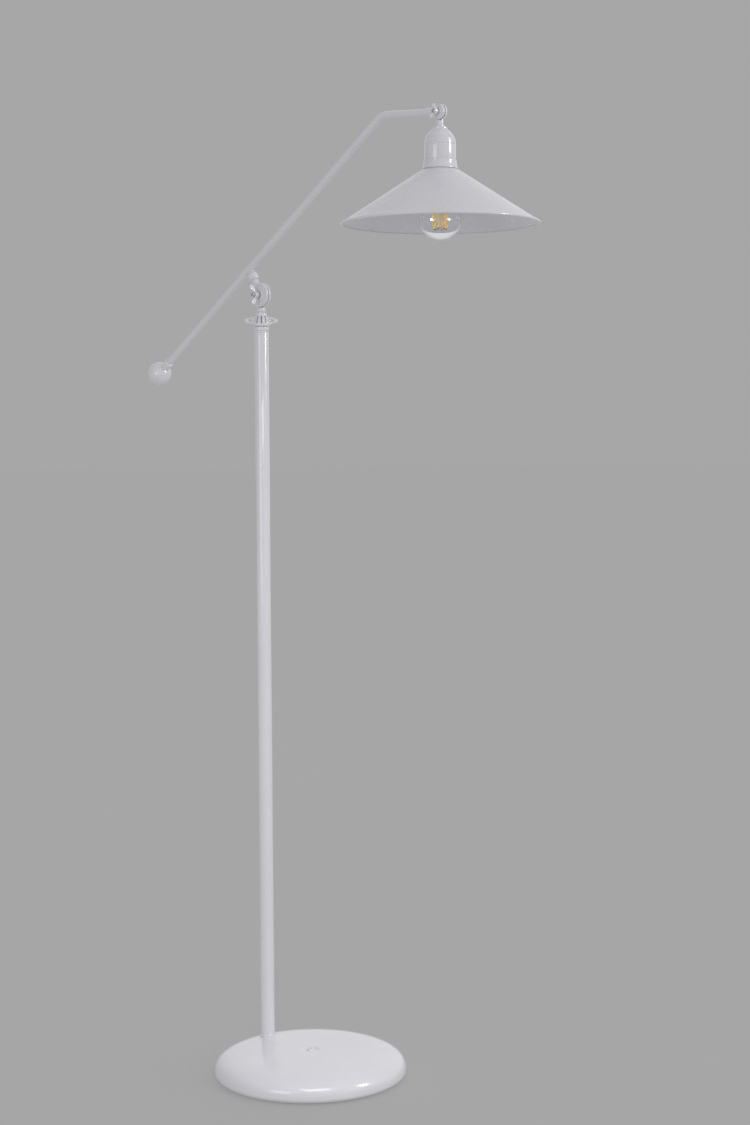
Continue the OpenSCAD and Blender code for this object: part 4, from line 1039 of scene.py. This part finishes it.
def globe_side(over, steps=60):
    r, neck = bulb_r - over, 12.2 - over
    spots = [(r * math.cos(a), globe_z + r * math.sin(a)) for a in
             (math.radians(-90) + (shoulder + math.radians(90)) * i / steps for i in range(steps + 1))]
    spots[0] = (0, globe_z - r)
    r0, z0 = spots[-1]
    rise = cap_z - z0
    for s in (i / 28 for i in range(1, 29)):
        tuck_in = rise * math.tan(shoulder) * s * (1 - s) ** 2
        spots.append((r0 + (neck - r0) * s * s * (3 - 2 * s) - tuck_in, z0 + rise * s))
    return spots + [(neck, neck_z)]


globe = lathe([*globe_side(0), *reversed(globe_side(0.8))], 160, closed=False)
blown_globe = piece("blown_globe", globe, globe_glass, "head", at_head, ["bulb_glass"], crisp=80)
press_low, press_high = heights("bulb_stem", head.z)
flare_z = press_low + 41
press = lathe(eased([(0, press_low), (1.6, press_low, 0.8), (1.6, flare_z - 4, 3), (3.0, flare_z, 3),
                     (5.4, flare_z + 7, 4), (8.0, press_high, 0.3), (0, press_high)], 0.1, 6), 64)
piece("glass_stem", press, stem_glass, "head", at_head, ["bulb_stem"], crisp=60)

# %% Screw cap and contact
cap_low, cap_high = heights("bulb_cap", head.z)
skin_line = [(13.1, cap_low + 22.0 * i / 120) for i in range(121)]
closing = [(12.0, cap_low + 22.5), (10.4, cap_high - 0.5), (9.0, cap_high), (7.05, cap_high),
           (7.05, cap_high - 0.6), (9.0, cap_high - 0.7), (11.6, cap_low + 21.5), (12.3, cap_low)]
cap_shell = lathe([*skin_line, *closing], 96)
for v in cap_shell.verts:
    radius = math.hypot(v.co.x, v.co.y)
    height = v.co.z - cap_low
    if radius > 12.9 and 3 < height < 21.2:
        turns = height / 3.6 - math.atan2(v.co.y, v.co.x) / (2 * math.pi)
        wave = 0.45 * (1 - math.cos(2 * math.pi * turns))
        v.co.x *= (radius - wave) / radius
        v.co.y *= (radius - wave) / radius
piece("rolled_screw_cap", cap_shell, cap_metal, "head", at_head, ["bulb_cap"], crisp=50)
glass_low, glass_high = heights("bulb_tip_insulator", head.z)
cone = lathe(eased([(0, glass_low), (6.95, glass_low), (6.95, glass_low + 1.6, 0.5),
                    (4.2, glass_high, 0.3), (0, glass_high)], 0.1, 4), 64)
piece("cap_insulator", cone, black_glass, "head", at_head, ["bulb_tip_insulator"])

# %% Filaments and their wires
lowest, highest = heights("bulb_filaments", head.z)
foot = Vector((9.5, 0, lowest + 0.2))
top = Vector((12.5, 0, highest - 0.2))
way = (top - foot).normalized()
filament_count = 6
rods, wires = [], []
for i in range(filament_count):
    around_stem = turned(360 / filament_count * i, "Z")
    rods.append((sweep([foot + way * 1.5, foot + way * 2.2, (foot + top) / 2, top - way * 2.2,
                        top - way * 1.5], 0.88, 16), around_stem))
    for end, along, inner, sag in ((foot, way, Vector((1.9, 0, foot.z + 4)), -0.3),
                                   (top, -way, Vector((3.7, 0, top.z + 7)), 0.4)):
        bow = end - along * 0.2
        mid = (bow + inner) / 2 + Vector((0.5, 0, sag))
        steps = [inner * (1 - s) ** 2 + mid * 2 * s * (1 - s) + bow * s * s
                 for s in (k / 8 for k in range(9))]
        wires.append((sweep(steps + [bow + along * 1.9], 0.35, 10), around_stem))
        wires.append((sweep([end + along * 0.3, end + along * 1.8], 0.62, 12), around_stem))
piece("yellow_filaments", joined(*rods), phosphor, "head", at_head, ["bulb_filaments"])
piece("weld_wires", joined(*wires), dark_wire, "head", at_head, ["bulb_lead_wires"])

# %% [markdown]
# ## Pieces kept from the engineering model
#
# The pieces inside, such as the weight, the nuts, the wires and the lampholder's core, have the
# right shape already. They keep their meshes and are given the finish of what they are made of.

# %% Finishes for the inner pieces
inner_finishes = {
    cast_iron: ["base_weight"],
    steel: ["bottom_plate", "plate_screws", "centre_nut", "foot_plug", "foot_nipple", "foot_washer",
            "foot_nut", "spigot_clip", "tail_stud", "cap_nut"],
    nylon: ["swivel_bush"],
    porcelain: ["holder_core"],
    brass: ["holder_screw_shell", "centre_contact"],
    cap_metal: ["bulb_tip_contact"],
    wire_cover: ["stem_wires", "swivel_wires", "arm_wires", "head_wires"],
}
for made_of, names in inner_finishes.items():
    for name in names:
        node = frame["nodes"][name]
        if not node.material_slots:
            node.data.materials.append(made_of)
        for held in node.material_slots:
            held.material = made_of
still_shown = [n for n, o in frame["nodes"].items() if not o.hide_render]
unfinished = set(still_shown).difference(*inner_finishes.values())
print("kept nodes:", len(still_shown), "without a finish:", sorted(unfinished))

# %% [markdown]
# ## The studio
#
# The lamp stands on a wide pale floor that runs out to a sky of the same tone, so no horizon
# shows behind it. What lights the lamp is brighter than what shows behind it, as in a studio
# where white walls stand out of view: the sky that the lamp sees is bright on its right
# and dim on its left. Light Path tells the two skies apart. The floor gives off most of its
# tone itself, which keeps it even and leaves a soft shadow of contact under the base.

# %% Floor and sky
sky_tone = 0.386
sky = bpy.data.worlds.new("sky")
bpy.context.scene.world = sky
sky.use_nodes = True
t = sky.node_tree
backdrop = t.nodes["Background"]
backdrop.inputs["Color"].default_value = grey(sky_tone)
way = add(t, "ShaderNodeTexCoord").outputs["Generated"]
bright_side = Vector((0.86, 0.42, 0.30)).normalized()
towards = add(t, "ShaderNodeVectorMath", {0: way, 1: bright_side}, operation="DOT_PRODUCT").outputs["Value"]
behind = add(t, "ShaderNodeVectorMath", {0: way, 1: Vector((-0.72, 0.68, 0.12))},
             operation="DOT_PRODUCT").outputs["Value"]
side_light = spread(t, towards, -0.9, 1.0, 0.30, 0.74)
back_light = spread(t, behind, 0.6, 1.0, 0.0, 0.32)
strength = add(t, "ShaderNodeMath", {0: side_light, 1: back_light}, operation="ADD").outputs[0]
walls = add(t, "ShaderNodeBackground", {"Color": (0.985, 0.985, 1.0, 1.0), "Strength": strength})
seen = add(t, "ShaderNodeLightPath").outputs["Is Camera Ray"]
both = add(t, "ShaderNodeMixShader", {0: seen, 1: walls.outputs[0], 2: backdrop.outputs[0]})
t.links.new(both.outputs[0], t.nodes["World Output"].inputs["Surface"])
lit_share = 0.30
floor_finish, tree, shader, place = start("pale studio floor")
cloud = spread(tree, noise(tree, place, 3.0, 3.0), 0.3, 0.7)
paint = blend_colour(tree, cloud, grey(lit_share), grey(lit_share * 0.985))
tree.links.new(paint, shader.inputs["Base Color"])
shader.inputs["Roughness"].default_value = 0.9
shader.inputs["Specular IOR Level"].default_value = 0.0
shader.inputs["Emission Color"].default_value = grey(1.0)
direct = add(tree, "ShaderNodeLightPath").outputs["Is Camera Ray"]
own_light = spread(tree, direct, 0.0, 1.0, 0.29, sky_tone - lit_share * 0.58)
tree.links.new(own_light, shader.inputs["Emission Strength"])
floor_bm = bmesh.new()
bmesh.ops.create_circle(floor_bm, cap_ends=True, segments=96, radius=80.0)
floor_mesh = bpy.data.meshes.new("studio_floor")
floor_bm.to_mesh(floor_mesh)
floor_bm.free()
floor = bpy.data.objects.new("studio_floor", floor_mesh)
floor.location.z = -0.0003
floor_mesh.materials.append(floor_finish)
bpy.context.scene.collection.objects.link(floor)
floor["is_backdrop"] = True

# %% Lights
def lit_by(name, thing, state):
    things = bpy.data.collections.new(name)
    things.objects.link(thing)
    things.collection_objects[0].light_linking.link_state = state
    return things


def soft_light(name, place, target, width, height, power, shines_on, only_gloss=False):
    data = bpy.data.lights.new(name, "AREA")
    data.shape = "RECTANGLE"
    data.size, data.size_y = width, height
    data.energy = power
    light = bpy.data.objects.new(name, data)
    bpy.context.scene.collection.objects.link(light)
    way = Vector(target) - Vector(place)
    light.matrix_world = move(*place) @ way.to_track_quat("-Z", "Y").to_matrix().to_4x4()
    light.visible_diffuse = not only_gloss
    light.light_linking.receiver_collection = shines_on
    return light


all_but_floor = lit_by("all but the floor", floor, "EXCLUDE")
only_globe = lit_by("only the globe", blown_globe, "INCLUDE")
arm_height, bulb = (0.1, 0.0, 1.1), (0.3, 0.0, 1.28)
lights = [
    soft_light("key", (2.5, 1.5, 2.1), arm_height, 0.12, 0.8, 11.0, all_but_floor),
    soft_light("front", (0.6, -3.0, 1.3), arm_height, 1.4, 1.4, 11.0, all_but_floor),
    soft_light("low", (0.9, -0.6, 1.2), (0.88, -0.59, 0.0), 0.7, 0.7, 5.5, all_but_floor),
    soft_light("gloss strip", (2.5, 1.5, 2.1), arm_height, 0.35, 0.8, 26.0, all_but_floor, True),
    soft_light("left window", (0.16, -2.5, 1.18), bulb, 0.7, 0.6, 26.0, only_globe, True),
    soft_light("right window", (2.79, 0.13, 1.18), bulb, 0.7, 0.6, 26.0, only_globe, True),
]
view = bpy.context.scene.view_settings
view.view_transform = "Standard"
view.look = "None"
view.exposure = 0.0
print("lights:", [light.name for light in lights])

# %% [markdown]
# ## Check the size
#
# The visual model may not grow past the engineering model, so both boxes are kept side by side.

# %% Sizes and the end
seen_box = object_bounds()
growth = [[round((b - a) * 1000, 2) for a, b in zip(c, d)] for c, d in zip(cad_box, seen_box)]
print("grown by, mm:", growth)
